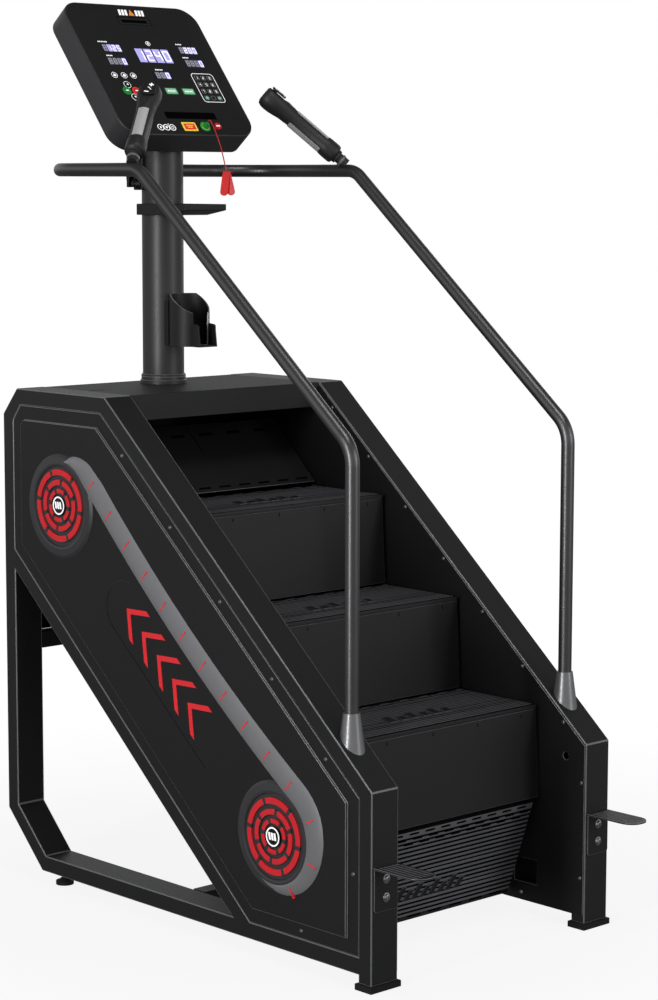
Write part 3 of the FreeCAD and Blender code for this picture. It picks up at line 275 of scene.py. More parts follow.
# Rubbers: matt and soft-edged, each with the grain of its mould or cover cloth.
grip_rubber = coated("moulded_grip_rubber", "#1e1e20", "#29292b", cloud=50.0, grain=1.6, rough=(0.42, 0.56),
                     bump=0.3, specular=0.5)
foot_rubber = coated("nitrile_rubber", "#121212", "#1b1b1b", cloud=30.0, grain=2.0, rough=(0.65, 0.8),
                     bump=0.3, specular=0.35)
belt_rubber = coated("neoprene_belt", "#121212", "#191919", cloud=20.0, grain=1.5, rough=(0.6, 0.75),
                     bump=0.3, specular=0.3)
# Sand-cast iron: coarse skin with a dull metal shine.
grey_iron = coated("cast_grey_iron", "#343436", "#444446", cloud=25.0, grain=3.0, rough=(0.55, 0.7),
                   bump=0.5, metal=0.7)
# Circuit board under its solder mask: a clear green gloss.
board_green = coated("solder_mask_green", "#0f3a20", "#16502c", cloud=12.0, grain=3.0, rough=(0.3, 0.45))
# Coloured ABS and polypropylene: bright, even colour, satin on the vents and glossy on the keys.
red_vent = coated("moulded_abs_red", "#e0202a", "#f0303a", cloud=40.0, grain=2.0, rough=(0.38, 0.5),
                  bump=0.1, specular=0.4)
red_gloss = coated("glossy_abs_red", "#d8221f", "#ee302c", cloud=14.0, grain=3.0, rough=(0.2, 0.3),
                   bump=0.04, coat=0.3)
green_gloss = coated("glossy_abs_green", "#1f9a3e", "#2fb750", cloud=10.0, grain=3.0, rough=(0.2, 0.3),
                     bump=0.04, coat=0.3)
clip_red = coated("polypropylene_red", "#ee2626", "#fb3c38", cloud=16.0, grain=1.5, rough=(0.35, 0.5),
                  bump=0.12)
# Metals: plated, blackened, turned, brushed, oiled and machined, each with the lines its making leaves.
bright_steel = drawn_metal("zinc_plated_steel", "#b5b5b7", 0.3, (1, 1, 1), line=2.0)
dark_steel = drawn_metal("blackened_steel", "#3c3c3e", 0.38, (1, 1, 1), line=2.5)
shaft_steel = drawn_metal("turned_steel", "#8b8b8d", 0.28, (1, 0.1, 0.1), line=1.2)
sensor_steel = drawn_metal("brushed_stainless_plate", "#dededf", 0.42, (0.2, 1, 1), line=1.2, metal=0.45)
chain_steel = drawn_metal("oiled_chain_steel", "#4a4a4c", 0.32, (1, 1, 1), line=3.0)
brake_metal = drawn_metal("machined_aluminium", "#8f8f91", 0.35, (1, 0.2, 0.2), line=1.5)
# Inks, membrane keys and display cells: flat colour, a little uneven. The display cells are lit from behind
# where they glow; the glow on inks and keys is painted light that keeps them bright.
red_ink = printed("screen_print_red", "#ee2a32", glow=0.12)
white_ink_painted_glow = printed("screen_print_white_painted_glow", "#f4f4f4", glow=0.6)
grey_ink = printed("screen_print_grey", "#9a9a9d", glow=0.1)
orange_ink = printed("screen_print_orange", "#ef9430", glow=0.3)
yellow_ink = printed("screen_print_yellow", "#f4dc48", glow=0.3)
label_red = printed("screen_print_label_red", "#ee3a26", glow=0.25)
mint_key = printed("membrane_key_mint", "#8fc7a2", glow=0.3)
mint_dark = printed("membrane_key_green_rim", "#2d7a4a", glow=0.1)
cell_dim = printed("display_cell_unlit", "#6d6b78", rough=0.3, glow=0.25)
cell_lit = printed("display_cell_lit", "#aaa6e4", rough=0.3, glow=0.6)
window_tint = printed("display_filter_violet", "#14132c", rough=0.15)
segment_dim = printed("display_segments_unlit", "#a9a8b4", rough=0.3, glow=0.35)
segment_lit = printed("display_segments_lit", "#f3f1ff", rough=0.3, glow=0.9)
# Braided polyester cord: crossed threads that catch the light by turns.
cord_red = braided("braided_polyester_red", "#e63032")

# ---------------------------------------------------------------- making pieces


def finish_piece(name, form, body, materials, bevel=0.0, segments=2, sharp=38, edge=-1):
    """Turns a built form into an object that rides on a body; edge is the material of its rounded edges."""
    bmesh.ops.recalc_face_normals(form, faces=form.faces)
    mesh = bpy.data.meshes.new(name)
    form.to_mesh(mesh)
    form.free()
    for material in materials:
        mesh.materials.append(material)
    mesh.shade_smooth()
    piece = bpy.data.objects.new(name, mesh)
    bpy.context.scene.collection.objects.link(piece)
    if bevel:
        rounding = piece.modifiers.new("rounded edges", "BEVEL")
        rounding.width = bevel * MM
        rounding.segments = segments
        rounding.limit_method = "ANGLE"
        rounding.angle_limit = math.radians(sharp)
        rounding.use_clamp_overlap = False
        rounding.material = edge
        shading = piece.modifiers.new("flat faces stay flat", "WEIGHTED_NORMAL")
        shading.weight = 100
    else:
        mesh.set_sharp_from_angle(angle=math.radians(sharp))
    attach(piece, body)
    return piece


def slab(form, outline, low, high, place=Matrix(), slot=0):
    """A plate of this outline, from low to high along its own Z."""
    rings = [[form.verts.new(place @ at(x, y, z)) for x, y in outline] for z in (low, high)]
    faces = [form.faces.new(rings[0]), form.faces.new(rings[1])]
    for i in range(len(outline)):
        j = (i + 1) % len(outline)
        faces.append(form.faces.new((rings[0][i], rings[0][j], rings[1][j], rings[1][i])))
    for face in faces:
        face.material_index = slot


def strip(form, inner, outer, low, high, place=Matrix(), slot=0, closed=False):
    """A band between two lines of equally many points; high may differ for the two lines."""
    tops = high if isinstance(high, tuple) else (high, high)
    corners = []
    for a, b in zip(inner, outer):
        corners.append([form.verts.new(place @ at(*a, low)), form.verts.new(place @ at(*b, low)),
                        form.verts.new(place @ at(*b, tops[1])), form.verts.new(place @ at(*a, tops[0]))])
    count = len(corners)
    for i in range(count if closed else count - 1):
        j = (i + 1) % count
        for k in range(4):
            m = (k + 1) % 4
            face = form.faces.new((corners[i][k], corners[j][k], corners[j][m], corners[i][m]))
            face.material_index = slot
    if not closed:
        for end_ring in (corners[0], corners[-1]):
            form.faces.new(end_ring).material_index = slot


def ribbon(form, inner, outer, low, section, place):
    """A band with a shaped top between two lines; section holds (share of the width, rise)."""
    rows = []
    for a, b in zip(inner, outer):
        row = [form.verts.new(place @ at(*a, low))]
        row += [form.verts.new(place @ at(a[0] + (b[0] - a[0]) * share, a[1] + (b[1] - a[1]) * share,
                                          low + 0.5 + rise)) for share, rise in section]
        rows.append(row + [form.verts.new(place @ at(*b, low))])
    for near, far in zip(rows, rows[1:]):
        for k in range(len(near)):
            m = (k + 1) % len(near)
            form.faces.new((near[k], far[k], far[m], near[m]))
    form.faces.new(rows[0])
    form.faces.new(rows[-1])


def lathe(form, profile, place=Matrix(), steps=48, slot=0):
    """A turned form: profile holds (radius, height) from one end to the other."""
    rings = []
    for radius, height in profile:
        if radius < 1e-6:
            rings.append([form.verts.new(place @ at(0, 0, height))])
            continue
        rings.append([form.verts.new(place @ at(radius * math.cos(2 * math.pi * i / steps),
                                                radius * math.sin(2 * math.pi * i / steps), height))
                      for i in range(steps)])
    for low, high in zip(rings, rings[1:]):
        for i in range(steps):
            j = (i + 1) % steps
            if len(low) == 1 and len(high) == 1:
                continue
            if len(low) == 1:
                face = form.faces.new((low[0], high[i], high[j]))
            elif len(high) == 1:
                face = form.faces.new((low[i], low[j], high[0]))
            else:
                face = form.faces.new((low[i], low[j], high[j], high[i]))
            face.material_index = slot


def arc(centre, radius, first, last, count=24):
    """Points on a circle between two angles in degrees."""
    return [(centre[0] + radius * math.cos(math.radians(first + (last - first) * i / count)),
             centre[1] + radius * math.sin(math.radians(first + (last - first) * i / count)))
            for i in range(count + 1)]


def rounded(centre, size, radius, count=6):
    """Outline of a rectangle with round corners."""
    points = []
    for sx, sy, first in ((1, 1, 0), (-1, 1, 90), (-1, -1, 180), (1, -1, 270)):
        corner = (centre[0] + sx * (size[0] / 2 - radius), centre[1] + sy * (size[1] / 2 - radius))
        points += arc(corner, radius, first, first + 90, count)
    return points


def tube(form, corners, bends, radius, normal, steps=16, sides=48):
    """A round bar along straight lines joined by bends, all in the plane square to normal."""
    line = [corners[0]]
    for before, corner, after, bend in zip(corners, corners[1:], corners[2:], bends):
        back = (before - corner).normalized()
        on = (after - corner).normalized()
        half = back.angle(on) / 2
        centre = corner + (back + on).normalized() * (bend * MM / math.sin(half))
        first = corner + back * (bend * MM / math.tan(half)) - centre
        last = corner + on * (bend * MM / math.tan(half)) - centre
        sweep = first.angle(last)
        for i in range(steps + 1):
            part = sweep * i / steps
            line.append(centre + (first * math.sin(sweep - part) + last * math.sin(part)) / math.sin(sweep))
    line.append(corners[-1])
    rings = []
    for i, point in enumerate(line):
        along = (line[min(i + 1, len(line) - 1)] - line[max(i - 1, 0)]).normalized()
        aside = normal.cross(along)
        rings.append([form.verts.new(point + (normal * math.cos(turn) + aside * math.sin(turn)) * radius * MM)
                      for turn in [2 * math.pi * k / sides for k in range(sides)]])
    for near, far in zip(rings, rings[1:]):
        for k in range(sides):
            m = (k + 1) % sides
            form.faces.new((near[k], far[k], far[m], near[m]))
    form.faces.new(rings[0])
    form.faces.new(rings[-1])


def copy_of(node):
    """The form of a CAD piece, with its flat faces joined up."""
    form = bmesh.new()
    form.from_mesh(NODES[node].data)
    bmesh.ops.remove_doubles(form, verts=form.verts, dist=0.00001)
    bmesh.ops.dissolve_limit(form, angle_limit=math.radians(0.4), verts=form.verts, edges=form.edges)
    for face in form.faces:
        face.material_index = 0
    return form


def soften(node, width, *materials, form=None, segments=2, sharp=34, edge=-1):
    """A copy of a CAD piece with its edges rounded, shown in its place."""
    piece = finish_piece(node + "_finished", form or copy_of(node), NODES[node]["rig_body"], materials,
                         width, segments, sharp, edge)
    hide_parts(node)
    return piece


def paint(node, material):
    """Gives a CAD piece its finish without changing its shape."""
    mesh = NODES[node].data
    mesh.materials.clear()
    mesh.materials.append(material)


for node, material in {
    "front_foot_pads": foot_rubber, "cross_members": frame_coat, "belly_pan": sheet_coat,
    "panel_screws": bright_steel, "console_board": board_green,
    "bearing_blocks": grey_iron, "brake_housing": brake_metal,
    "drive_belt": belt_rubber, "lower_shaft": shaft_steel, "upper_shaft": shaft_steel,
    "brake_rotor": shaft_steel, "return_steps": tread_black, "key_start": green_gloss,
    "key_pause": red_gloss, "key_up": gloss_black, "key_down": gloss_black, "stop_button": red_gloss,
    "safety_key": green_gloss,
    "vent_grilles": abs_grey, "vent_caps": gloss_black,
    "display_windows": window_tint, "rear_panel": sheet_coat, "rail_cones": cone_coat,
    "console_post": post_coat, "post_flange": post_coat, "rear_foot_left": foot_rubber,
    "rear_foot_right": foot_rubber, "console_mount": frame_coat,
}.items():
    paint(node, material)

# ---------------------------------------------------------------- side covers

FADE = 18


def cover_place(side):
    """Side view of a cover: its X is the machine's Y, its Y is height, its Z points outwards."""
    return Matrix(((0, 0, side, 0), (1, 0, 0, 0), (0, 1, 0, 0), (0, 0, 0, 1)))


def slope_point(along, off):
    """A point measured along and off the line between the two shaft centres."""
    return (LOWER_SHAFT[0] + along * math.cos(PITCH) - off * math.sin(PITCH),
            LOWER_SHAFT[1] + along * math.sin(PITCH) + off * math.cos(PITCH))


def waisted(radius, waist, first, last, count=64):
    """The line round both vents, drawn in towards the middle; first and last are angles at its ends."""
    half = SHAFT_SPACING / 2
    bend = (half ** 2 + waist ** 2 - radius ** 2) / (2 * (radius - waist))
    lean = math.degrees(math.asin(half / (bend + radius)))
    points = arc((0, 0), radius, first, 90 - lean, 22)
    centre = (half, waist + bend)
    points += arc(centre, bend, 270 - lean, 270 + lean, count)[1:]
    points += arc((SHAFT_SPACING, 0), radius, 90 + lean, last, 14)[1:]
    return [slope_point(*point) for point in points]


RING_INNER = 98.0
RING_OUTER = 147.0
band_inner = waisted(RING_INNER, 73.0, 249, 60)
band_outer = waisted(RING_OUTER, 121.0, 249, 60)
for i in range(FADE):
    share = (i / FADE) ** 0.6
    for k in (i, len(band_inner) - 1 - i):
        band_outer[k] = tuple(a + (b - a) * max(share, 0.04) for a, b in zip(band_inner[k], band_outer[k]))

VENTS = [slope_point(0, 0), slope_point(SHAFT_SPACING, 0)]
# Rise of the band over the plateau, by share of its width from the inner edge.
BAND_SECTION = [(0.0, 5.4), (0.06, 6.3), (0.3, 6.0), (0.55, 5.1), (0.78, 3.4), (0.93, 1.3), (1.0, 0.1)]
SLOPE_TICKS = 11
TICKS = SLOPE_TICKS + 3
GRILLE_RINGS = [(66.5, 79.5, 0.0), (45.0, 56.5, 30.0), (27.0, 36.5, 0.0)]

for side, word in ((-1, "left"), (1, "right")):
    place = cover_place(side)
    face = COVER_FACE
    form = bmesh.new()
    # The band is flattest by the vents and rolls over to the plateau along its outer edge.
    ribbon(form, band_inner, band_outer, face - 0.5, BAND_SECTION, place)
    finish_piece("cover_band_" + word, form, "root", [band_grey], sharp=40)

    form = bmesh.new()
    for k in range(TICKS):
        if k < SLOPE_TICKS:
            along = 39 + 83.3 * k
            spread = 1 - math.sin(math.pi * min(max(along / SHAFT_SPACING, 0), 1))
            ends = [slope_point(along, off) for off in (81 + 24 * spread, 109 + 22 * spread)]
        else:
            turn = PITCH + math.radians(90 + 24 + 44 * (k - SLOPE_TICKS))
            ends = [(LOWER_SHAFT[0] + r * math.cos(turn), LOWER_SHAFT[1] + r * math.sin(turn))
                    for r in (107, 130)]
        a, b = [Vector(point) for point in ends]
        line = (b - a).normalized()
        wide = Vector((-line.y, line.x)) * 1.5
        strip(form, [a - wide, a + wide], [b - wide, b + wide], face, (face + 6.7, face + 5.0), place)
    finish_piece("cover_ticks_" + word, form, "root", [red_ink])

    # Five chevrons that climb the slope, cut as strokes of even width.
    form = bmesh.new()
    for k in range(5):
        centre = 318 + 66 * k
        stroke = 11
        outline = [(centre - 26, 44), (centre - 26 + stroke * 1.5, 44), (centre + 22 + stroke * 1.5, 0),
                   (centre - 26 + stroke * 1.5, -44), (centre - 26, -44), (centre + 22, 0)]
        slab(form, [slope_point(along, off - 2) for along, off in outline], face - 0.2, face + 0.9, place)
    finish_piece("cover_chevrons_" + word, form, "root", [red_ink])

    # A shallow pressed line round the chevrons.
    form = bmesh.new()
    groove = [(232, -66)] + arc((628, -10), 60, -90, 70, 16)
    inner_groove = [(232, -64.2)] + arc((628, -10), 58.2, -90, 70, 16)
    strip(form, [slope_point(*point) for point in inner_groove], [slope_point(*point) for point in groove],
          face - 0.4, (face + 0.8, face + 0.1), place)
    finish_piece("cover_press_line_" + word, form, "root", [cover_coat])

    form = bmesh.new()
    for centre in VENTS:
        for inner, outer, first in GRILLE_RINGS:
            for k in range(6):
                begin = 8 + first + 60 * k
                gap = math.degrees(8.5 / (inner + outer))
                strip(form, arc(centre, inner, begin + gap, begin + 60 - gap, 10),
                      arc(centre, outer, begin + gap, begin + 60 - gap, 10), face + 1.0, face + 5.9, place)
    finish_piece("vent_red_slots_" + word, form, "root", [red_vent], bevel=0.7)

    form = bmesh.new()
    for centre in VENTS:
        hub = place @ Matrix.Translation(at(centre[0], centre[1], 0))
        circle = arc((0, 0), 20, 0, 360, 36)[:-1]
        rim = arc((0, 0), 16.8, 0, 360, 36)[:-1]
        strip(form, rim, circle, face + 6.9, face + 7.4, hub, closed=True)
        for k in range(3):
            slab(form, [(-11 + 8 * k, -7), (-5.5 + 8 * k, -7), (-2.5 + 8 * k, 8), (-8 + 8 * k, 8)],
                 face + 6.9, face + 7.3, hub)
    finish_piece("vent_cap_marks_" + word, form, "root", [white_ink_painted_glow])

# ---------------------------------------------------------------- softened CAD pieces

PANEL_WIDE = 384.0
PANEL_LONG = 379.0
PANEL_CORNER = 48.0


def on_panel_edge(point):
    """Whether a point of the console's face lies on its outline of straight sides and round corners."""
    beyond_x = abs(point.x) - (PANEL_WIDE / 2 - PANEL_CORNER)
    beyond_y = abs(point.y - PANEL_LONG / 2) - (PANEL_LONG / 2 - PANEL_CORNER)
    if beyond_x > 0 and beyond_y > 0:
        return abs(math.hypot(beyond_x, beyond_y) - PANEL_CORNER) < 0.5
    return abs(max(beyond_x, beyond_y) - PANEL_CORNER) < 0.5


# The rounded edges of frames, covers, inner sheets and boarding steps get the painted edge highlight.
for node in ("side_frame_left", "side_frame_right"):
    soften(node, 2.4, frame_coat, edge_highlight_paint, edge=1)
for node in ("side_cover_left", "side_cover_right"):
    soften(node, 1.5, cover_coat, edge_highlight_paint, edge=1)
for node in ("inner_sheet_left", "inner_sheet_right"):
    soften(node, 0.8, sheet_coat, edge_highlight_paint, edge=1)
soften("top_deck", 0.6, deck_coat)
soften("front_fascia", 0.6, sheet_coat)
for node in ("boarding_step_left", "boarding_step_right"):
    soften(node, 1.0, frame_coat, edge_highlight_paint, edge=1)
soften("rail_clamp", 1.5, frame_coat)
soften("phone_tray", 1.5, abs_black)
bezel = copy_of("console_bezel")
face_on = CONSOLE.inverted()
# Faces that don't face the front, and the rounded rim of the face, take the painted lighter side finish.
for face in bezel.faces:
    if (face_on.to_3x3() @ face.normal).z < 0.5:
        face.material_index = 1
rim = []
for edge in bezel.edges:
    ends = [face_on @ vert.co / MM for vert in edge.verts]
    if all(abs(point.z) < 0.01 for point in ends) and all(on_panel_edge(point) for point in ends):
        rim.append(edge)
bmesh.ops.bevel(bezel, geom=rim, offset=3.2 * MM, segments=4, profile=0.55, affect="EDGES", material=1)
soften("console_bezel", 0, abs_black, abs_painted_light_side, form=bezel)
soften("console_shell", 0, abs_painted_light_side)

# ---------------------------------------------------------------- handrails and slot trays

# The side rails' line, seen from the side: foot, knee, head and the joint with the rear bar.
RAIL_FOOT_Y = -453.0
KNEE_HEIGHT = 1054.0
RAIL_HEAD_Y = 196.0
RAIL_END = 400.0
REAR_BAR_Y = 560.0
SLOT_CENTRE = (-382.5, 96.5)
TRAY_SIZE = (70.0, 58.0)
TRAY_WALL = 1.5
TRAY_DEPTH = 24.0
for side, word in ((-1, "left"), (1, "right")):
    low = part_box("handrail_" + word)[0]
    form = bmesh.new()
    x = side * RAIL_X
    corners = [at(x, RAIL_FOOT_Y, low.z / MM), at(x, RAIL_FOOT_Y, KNEE_HEIGHT),
               at(x, RAIL_HEAD_Y, RAIL_HEIGHT), at(x, RAIL_END, RAIL_HEIGHT)]
    tube(form, corners, [75, 60], RAIL_TUBE / 2, Vector((1, 0, 0)))
    rail = finish_piece("handrail_drawn_" + word, form, "root", [rail_coat], sharp=60)
    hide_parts("handrail_" + word)

    # A shallow tray closes the inspection slot from behind.
    form = bmesh.new()
    slot_view = Matrix.Translation(at(side * INNER_FACE, *SLOT_CENTRE)) @ cover_place(side)
    rim = rounded((0, 0), TRAY_SIZE, 2 * TRAY_WALL)
    mouth = rounded((0, 0), (TRAY_SIZE[0] - 2 * TRAY_WALL, TRAY_SIZE[1] - 2 * TRAY_WALL), TRAY_WALL)
    strip(form, mouth, rim, 1.7, TRAY_DEPTH, slot_view, closed=True)
    slab(form, rim, TRAY_DEPTH - 2, TRAY_DEPTH, slot_view)
    finish_piece("slot_tray_" + word, form, "root", [sheet_coat])

form = bmesh.new()
tube(form, [at(-RAIL_X, RAIL_END + 0.1, RAIL_HEIGHT), at(-RAIL_X, REAR_BAR_Y, RAIL_HEIGHT),
            at(RAIL_X, REAR_BAR_Y, RAIL_HEIGHT), at(RAIL_X, RAIL_END + 0.1, RAIL_HEIGHT)],
     [140, 140], RAIL_TUBE / 2, Vector((0, 0, 1)))
rail = finish_piece("handrail_drawn_rear", form, "root", [rail_coat], sharp=60)
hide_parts("handrail_rear")

# ---------------------------------------------------------------- staircase

STEP_BODIES = {"tread_upper": "stair_run", "tread_middle": "stair_run", "tread_lower": "stair_run"}
TREAD_DEPTH = 224.0


def nosing_place(node):
    """A level tread's own frame: origin at the middle of its nosing, Y to the back, Z up."""
    low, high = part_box(node)
    return Matrix.Translation(Vector((0, low[1], high[2])))


TURNING_PLACE = Matrix.Translation(at(0, -340, 40)) @ Matrix.Rotation(math.radians(108.4), 4, "X")


def bars(form, place, row, starts, size, low, high, slot=0):
    """Flat bars with round corners, side by side in one row."""
    for x in starts:
        slab(form, rounded((x, row), size, min(size) * 0.45, 3), low, high, place, slot)


def every(pitch, reach, shift=0.0):
    """Even places from one side to the other."""
    count = int((2 * reach) // pitch)
    return [shift - count * pitch / 2 + pitch * i for i in range(count + 1)]


def ribbed(node, place, rib):
    """A tread whose rib tops take a lighter finish and whose grooves take a painted shade: on level treads the
    light tops are partly wear and partly painted highlight, on the turning tread painted light.
    """
    form = copy_of(node)
    inward = place.inverted()
    for face in form.faces:
        middle = inward @ face.calc_center_median()
        facing = (inward.to_3x3() @ face.normal).z
        # Tops facing up in the tread's own frame take the light rib finish; faces a little lower, in the
        # grooves, take the painted groove shade.
        if facing > 0.9 and middle.z > -0.0002:
            face.material_index = 1
        elif middle.z > -0.0032 and 0.005 < middle.y:
            face.material_index = 2
    soften(node, 0.45, tread_black, rib, groove_painted_shade, form=form, segments=1)


def tread_marks(node, body, place, back_rows, mark_row, mark_size, mark_count):
    """Fixing slots along the back edge, drawn as flat near-black bars of painted shade, and a row of raised
    leaning bars in the middle with the painted edge highlight on their edges.
    """
    form = bmesh.new()
    for row, shift, pitch in back_rows:
        bars(form, place, row, every(pitch, 232, shift), (pitch * 0.6, 4.5), -1.5, 0.35)
    finish_piece(node + "_slots", form, body, [painted_gap_shade])
    form = bmesh.new()
    wide, deep = mark_size
    step = wide / mark_count
    for i in range(mark_count):
        left = -wide / 2 + step * i
        lean = deep * 0.35
        tall = deep * (1.0 if i % 2 == 0 else 0.72)
        foot = mark_row - deep / 2
        right = left + step * 0.62
        outline = [(left, foot), (right, foot), (right + lean, foot + tall), (left + lean, foot + tall)]
        slab(form, outline, -2.0, 1.6, place)
    finish_piece(node + "_raised_mark", form, body, [tread_black, edge_highlight_paint], bevel=0.6, segments=1,
                 edge=1)


for node, body in STEP_BODIES.items():
    place = nosing_place(node)
    ribbed(node, place, rib_wear_and_highlight)
    tread_marks(node, body, place, [(TREAD_DEPTH - 5, 0, 58), (TREAD_DEPTH - 16, 29, 58)], 96, (190, 44), 6)
    # Short ticks where the riser's folded tabs pass under the nosing: near-black, painted shade under the
    # nosing.
    form = bmesh.new()
    under = place @ Matrix.Translation(at(0, 0.9, -20)) @ Matrix.Rotation(math.radians(90), 4, "X")
    bars(form, under, 1, every(132, 200, 20), (1.6, 7), -0.4, 0.6)
    finish_piece(node + "_tab_ticks", form, body, [painted_gap_shade])

ribbed("turning_tread", TURNING_PLACE, turning_ribs_painted_light)
tread_marks("turning_tread", "turning_tread", TURNING_PLACE,
            [(TREAD_DEPTH - 6, 0, 46), (TREAD_DEPTH - 19, 14, 46), (TREAD_DEPTH - 30, -9, 46), (9, 6, 62)],
            70, (200, 36), 8)
# The risers' rounded edges get the painted edge highlight.
soften("step_risers", 0.8, riser_black, edge_highlight_paint, edge=1)

# Slots and the middle seam of the riser that lies back as it passes under the deck, drawn as near-black bars:
# painted shade in the slots, and the seam's dark joint.
low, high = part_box("tread_upper")
laid_back = (Matrix.Translation(Vector((0, high[1], high[2])) + at(0, 2, 8))
             @ Matrix.Rotation(PITCH + math.radians(1.7), 4, "X"))
form = bmesh.new()
bars(form, laid_back, 168, every(82, 235), (40, 9), 1.0, 3.5)
bars(form, laid_back, 12, every(58, 232), (34, 5), 1.0, 3.5)
slab(form, [(-1, 118), (1, 118), (1, 196), (-1, 196)], 1.0, 3.4, laid_back)
finish_piece("top_riser_slots", form, "stair_run", [painted_gap_shade])

CHAIN_PITCH = 25.4
CHAIN_RADIUS = 95.0
LINK_FACES = (((267.7, 268.7), (270.3, 271.3)), ((266.4, 267.6), (271.4, 272.6)))


def chain_point(run):
    """A point and a heading on the chain's line, this far along it."""
    turn = math.pi * CHAIN_RADIUS
    run %= 2 * (SHAFT_SPACING + turn)
    if run < SHAFT_SPACING:
        return slope_point(run, CHAIN_RADIUS), PITCH
    run -= SHAFT_SPACING
    if run < turn:
        angle = run / CHAIN_RADIUS
        return (slope_point(SHAFT_SPACING + CHAIN_RADIUS * math.sin(angle), CHAIN_RADIUS * math.cos(angle)),
                PITCH - angle)
    run -= turn
    if run < SHAFT_SPACING:
        return slope_point(SHAFT_SPACING - run, -CHAIN_RADIUS), PITCH + math.pi
    angle = (run - SHAFT_SPACING) / CHAIN_RADIUS
    return (slope_point(-CHAIN_RADIUS * math.sin(angle), -CHAIN_RADIUS * math.cos(angle)),
            PITCH + math.pi - angle)


form = bmesh.new()
links = 2 * round((SHAFT_SPACING + math.pi * CHAIN_RADIUS) / CHAIN_PITCH)
for side in (-1, 1):
    place = cover_place(side)
    for k in range(links):
        (y, z), heading = chain_point(k * 2 * (SHAFT_SPACING + math.pi * CHAIN_RADIUS) / links)
        link = place @ Matrix.Translation(at(y, z, 0)) @ Matrix.Rotation(heading, 4, "Z")
        half = CHAIN_PITCH / 2
        outline = arc((half, 0), 8.4, -90, 90, 5) + arc((0, 0), 5.2, 60, 120, 2)
        outline += arc((-half, 0), 8.4, 90, 270, 5) + arc((0, 0), 5.2, 240, 300, 2)
        # Inner and outer links take turns along the chain.
        for face_low, face_high in LINK_FACES[k % 2]:
            slab(form, outline, face_low, face_high, link, 0)
        slab(form, arc((half, 0), 3.2, 0, 360, 8)[:-1], 266.1, 272.9, link, 1)
chain = finish_piece("step_chains_links", form, "root", [chain_steel, bright_steel])
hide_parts("step_chains")

# ---------------------------------------------------------------- bolts and post rings

form = bmesh.new()
front = Matrix.Rotation(math.radians(90), 4, "X")
for side in (-1, 1):
    for height in (224.0, 187.0):
        bolt = Matrix.Translation(at(side * RAIL_X, -552.1, height)) @ front
        lathe(form, [(0, 0), (9.4, 0), (9.4, 1.2), (7.6, 1.5), (7.3, 3.0), (5.6, 4.5), (3.1, 5.0), (2.9, 3.4),
                     (0, 3.4)], bolt, 24)
    for height in (-30.0, 30.0):
        nut = (Matrix.Translation(at(side * (POST_RADIUS + 8.1), POST_Y + 21.0, RAIL_HEIGHT + height))
               @ Matrix.Rotation(side * math.radians(90), 4, "Y"))
        lathe(form, [(0, 0), (12, 0), (12, 3.5), (9.5, 4.5), (9.0, 9.0), (5.5, 10.5), (5, 14.6), (0, 15)],
              nut, 20, slot=1)
bolts = finish_piece("frame_bolts_finished", form, "root", [bright_steel, dark_steel], sharp=30)
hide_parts("frame_bolts")

# Painted highlight: thin light rings on the steps of the post's flange, standing in for the light their edges
# catch.
form = bmesh.new()
for height, radius in ((7.4, 52.0), (15.5, 50.7), (20.7, 48.9)):
    seat = Matrix.Translation(at(0, POST_Y, DECK_TOP + height))
    lathe(form, [(radius - 1.2, -0.7), (radius + 0.2, -0.7), (radius + 0.5, 0), (radius + 0.2, 0.7),
                 (radius - 1.2, 0.7)], seat, 64)
finish_piece("post_flange_rings", form, "root", [edge_highlight_paint])

# ---------------------------------------------------------------- cup holder

CUP_AXIS = POST_Y - POST_RADIUS - 46.0
CUP_BASE = 1198.0
CUP_OUTER = 45.0
CUP_WALL = 3.0
CUP_SLANT = math.tan(math.radians(34))


def cup_height(turn):
    """Height of the rim at this angle: it falls to the front, and drops away at the handle slot."""
    off_front = abs((math.degrees(turn) + 90 + 180) % 360 - 180)
    slope = 60 + (62 + CUP_OUTER * math.sin(turn)) * CUP_SLANT
    return 5.0 if off_front < 27 else min(slope, 117.0)


form = bmesh.new()
cup_place = Matrix.Translation(at(0, CUP_AXIS, CUP_BASE))
steps = 96
columns = []
for i in range(steps):
    turn = 2 * math.pi * i / steps
    top = cup_height(turn)
    columns.append([form.verts.new(cup_place @ at(r * math.cos(turn), r * math.sin(turn), z))
                    for r, z in ((CUP_OUTER, 0.3), (CUP_OUTER, top - 0.8), (CUP_OUTER - 0.8, top),
                                 (CUP_OUTER - CUP_WALL, top - 0.8), (CUP_OUTER - CUP_WALL, 3.0))])
# The rim's top and its rounded lip get the painted edge highlight.
for i in range(steps):
    near, far = columns[i], columns[(i + 1) % steps]
    for k in range(4):
        face = form.faces.new((near[k], far[k], far[k + 1], near[k + 1]))
        face.material_index = 1 if k in (1, 2) else 0
form.faces.new([column[0] for column in columns])
form.faces.new([column[4] for column in columns])
side_view = Matrix(((0, 0, 1, 0), (1, 0, 0, CUP_AXIS * MM), (0, 1, 0, CUP_BASE * MM), (0, 0, 0, 1)))
cheek = [(-38, 0.3), (-65, 0.3), (-60, 40)] + arc((-54, 44), 6.5, 170, 80, 4) + [(-40, 52), (-38, 52)]
for side in (-1, 1):
    slab(form, cheek, side * 24.2 - 1.8, side * 24.2 + 1.8, side_view)
slab(form, [(-38, 0.3), (-65, 0.3), (-65, 4), (-38, 4)], -24, 24, side_view)
back = [(-28, CUP_OUTER - 4), (28, CUP_OUTER - 4)]
back += arc((0, POST_Y - CUP_AXIS), POST_RADIUS + 0.3, -54, -126, 12)
slab(form, back, 0.3, 99.6, cup_place)
cup = finish_piece("cup_holder_moulded", form, "root", [abs_black, edge_highlight_paint], sharp=30)
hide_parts("cup_holder")

# ---------------------------------------------------------------- console face

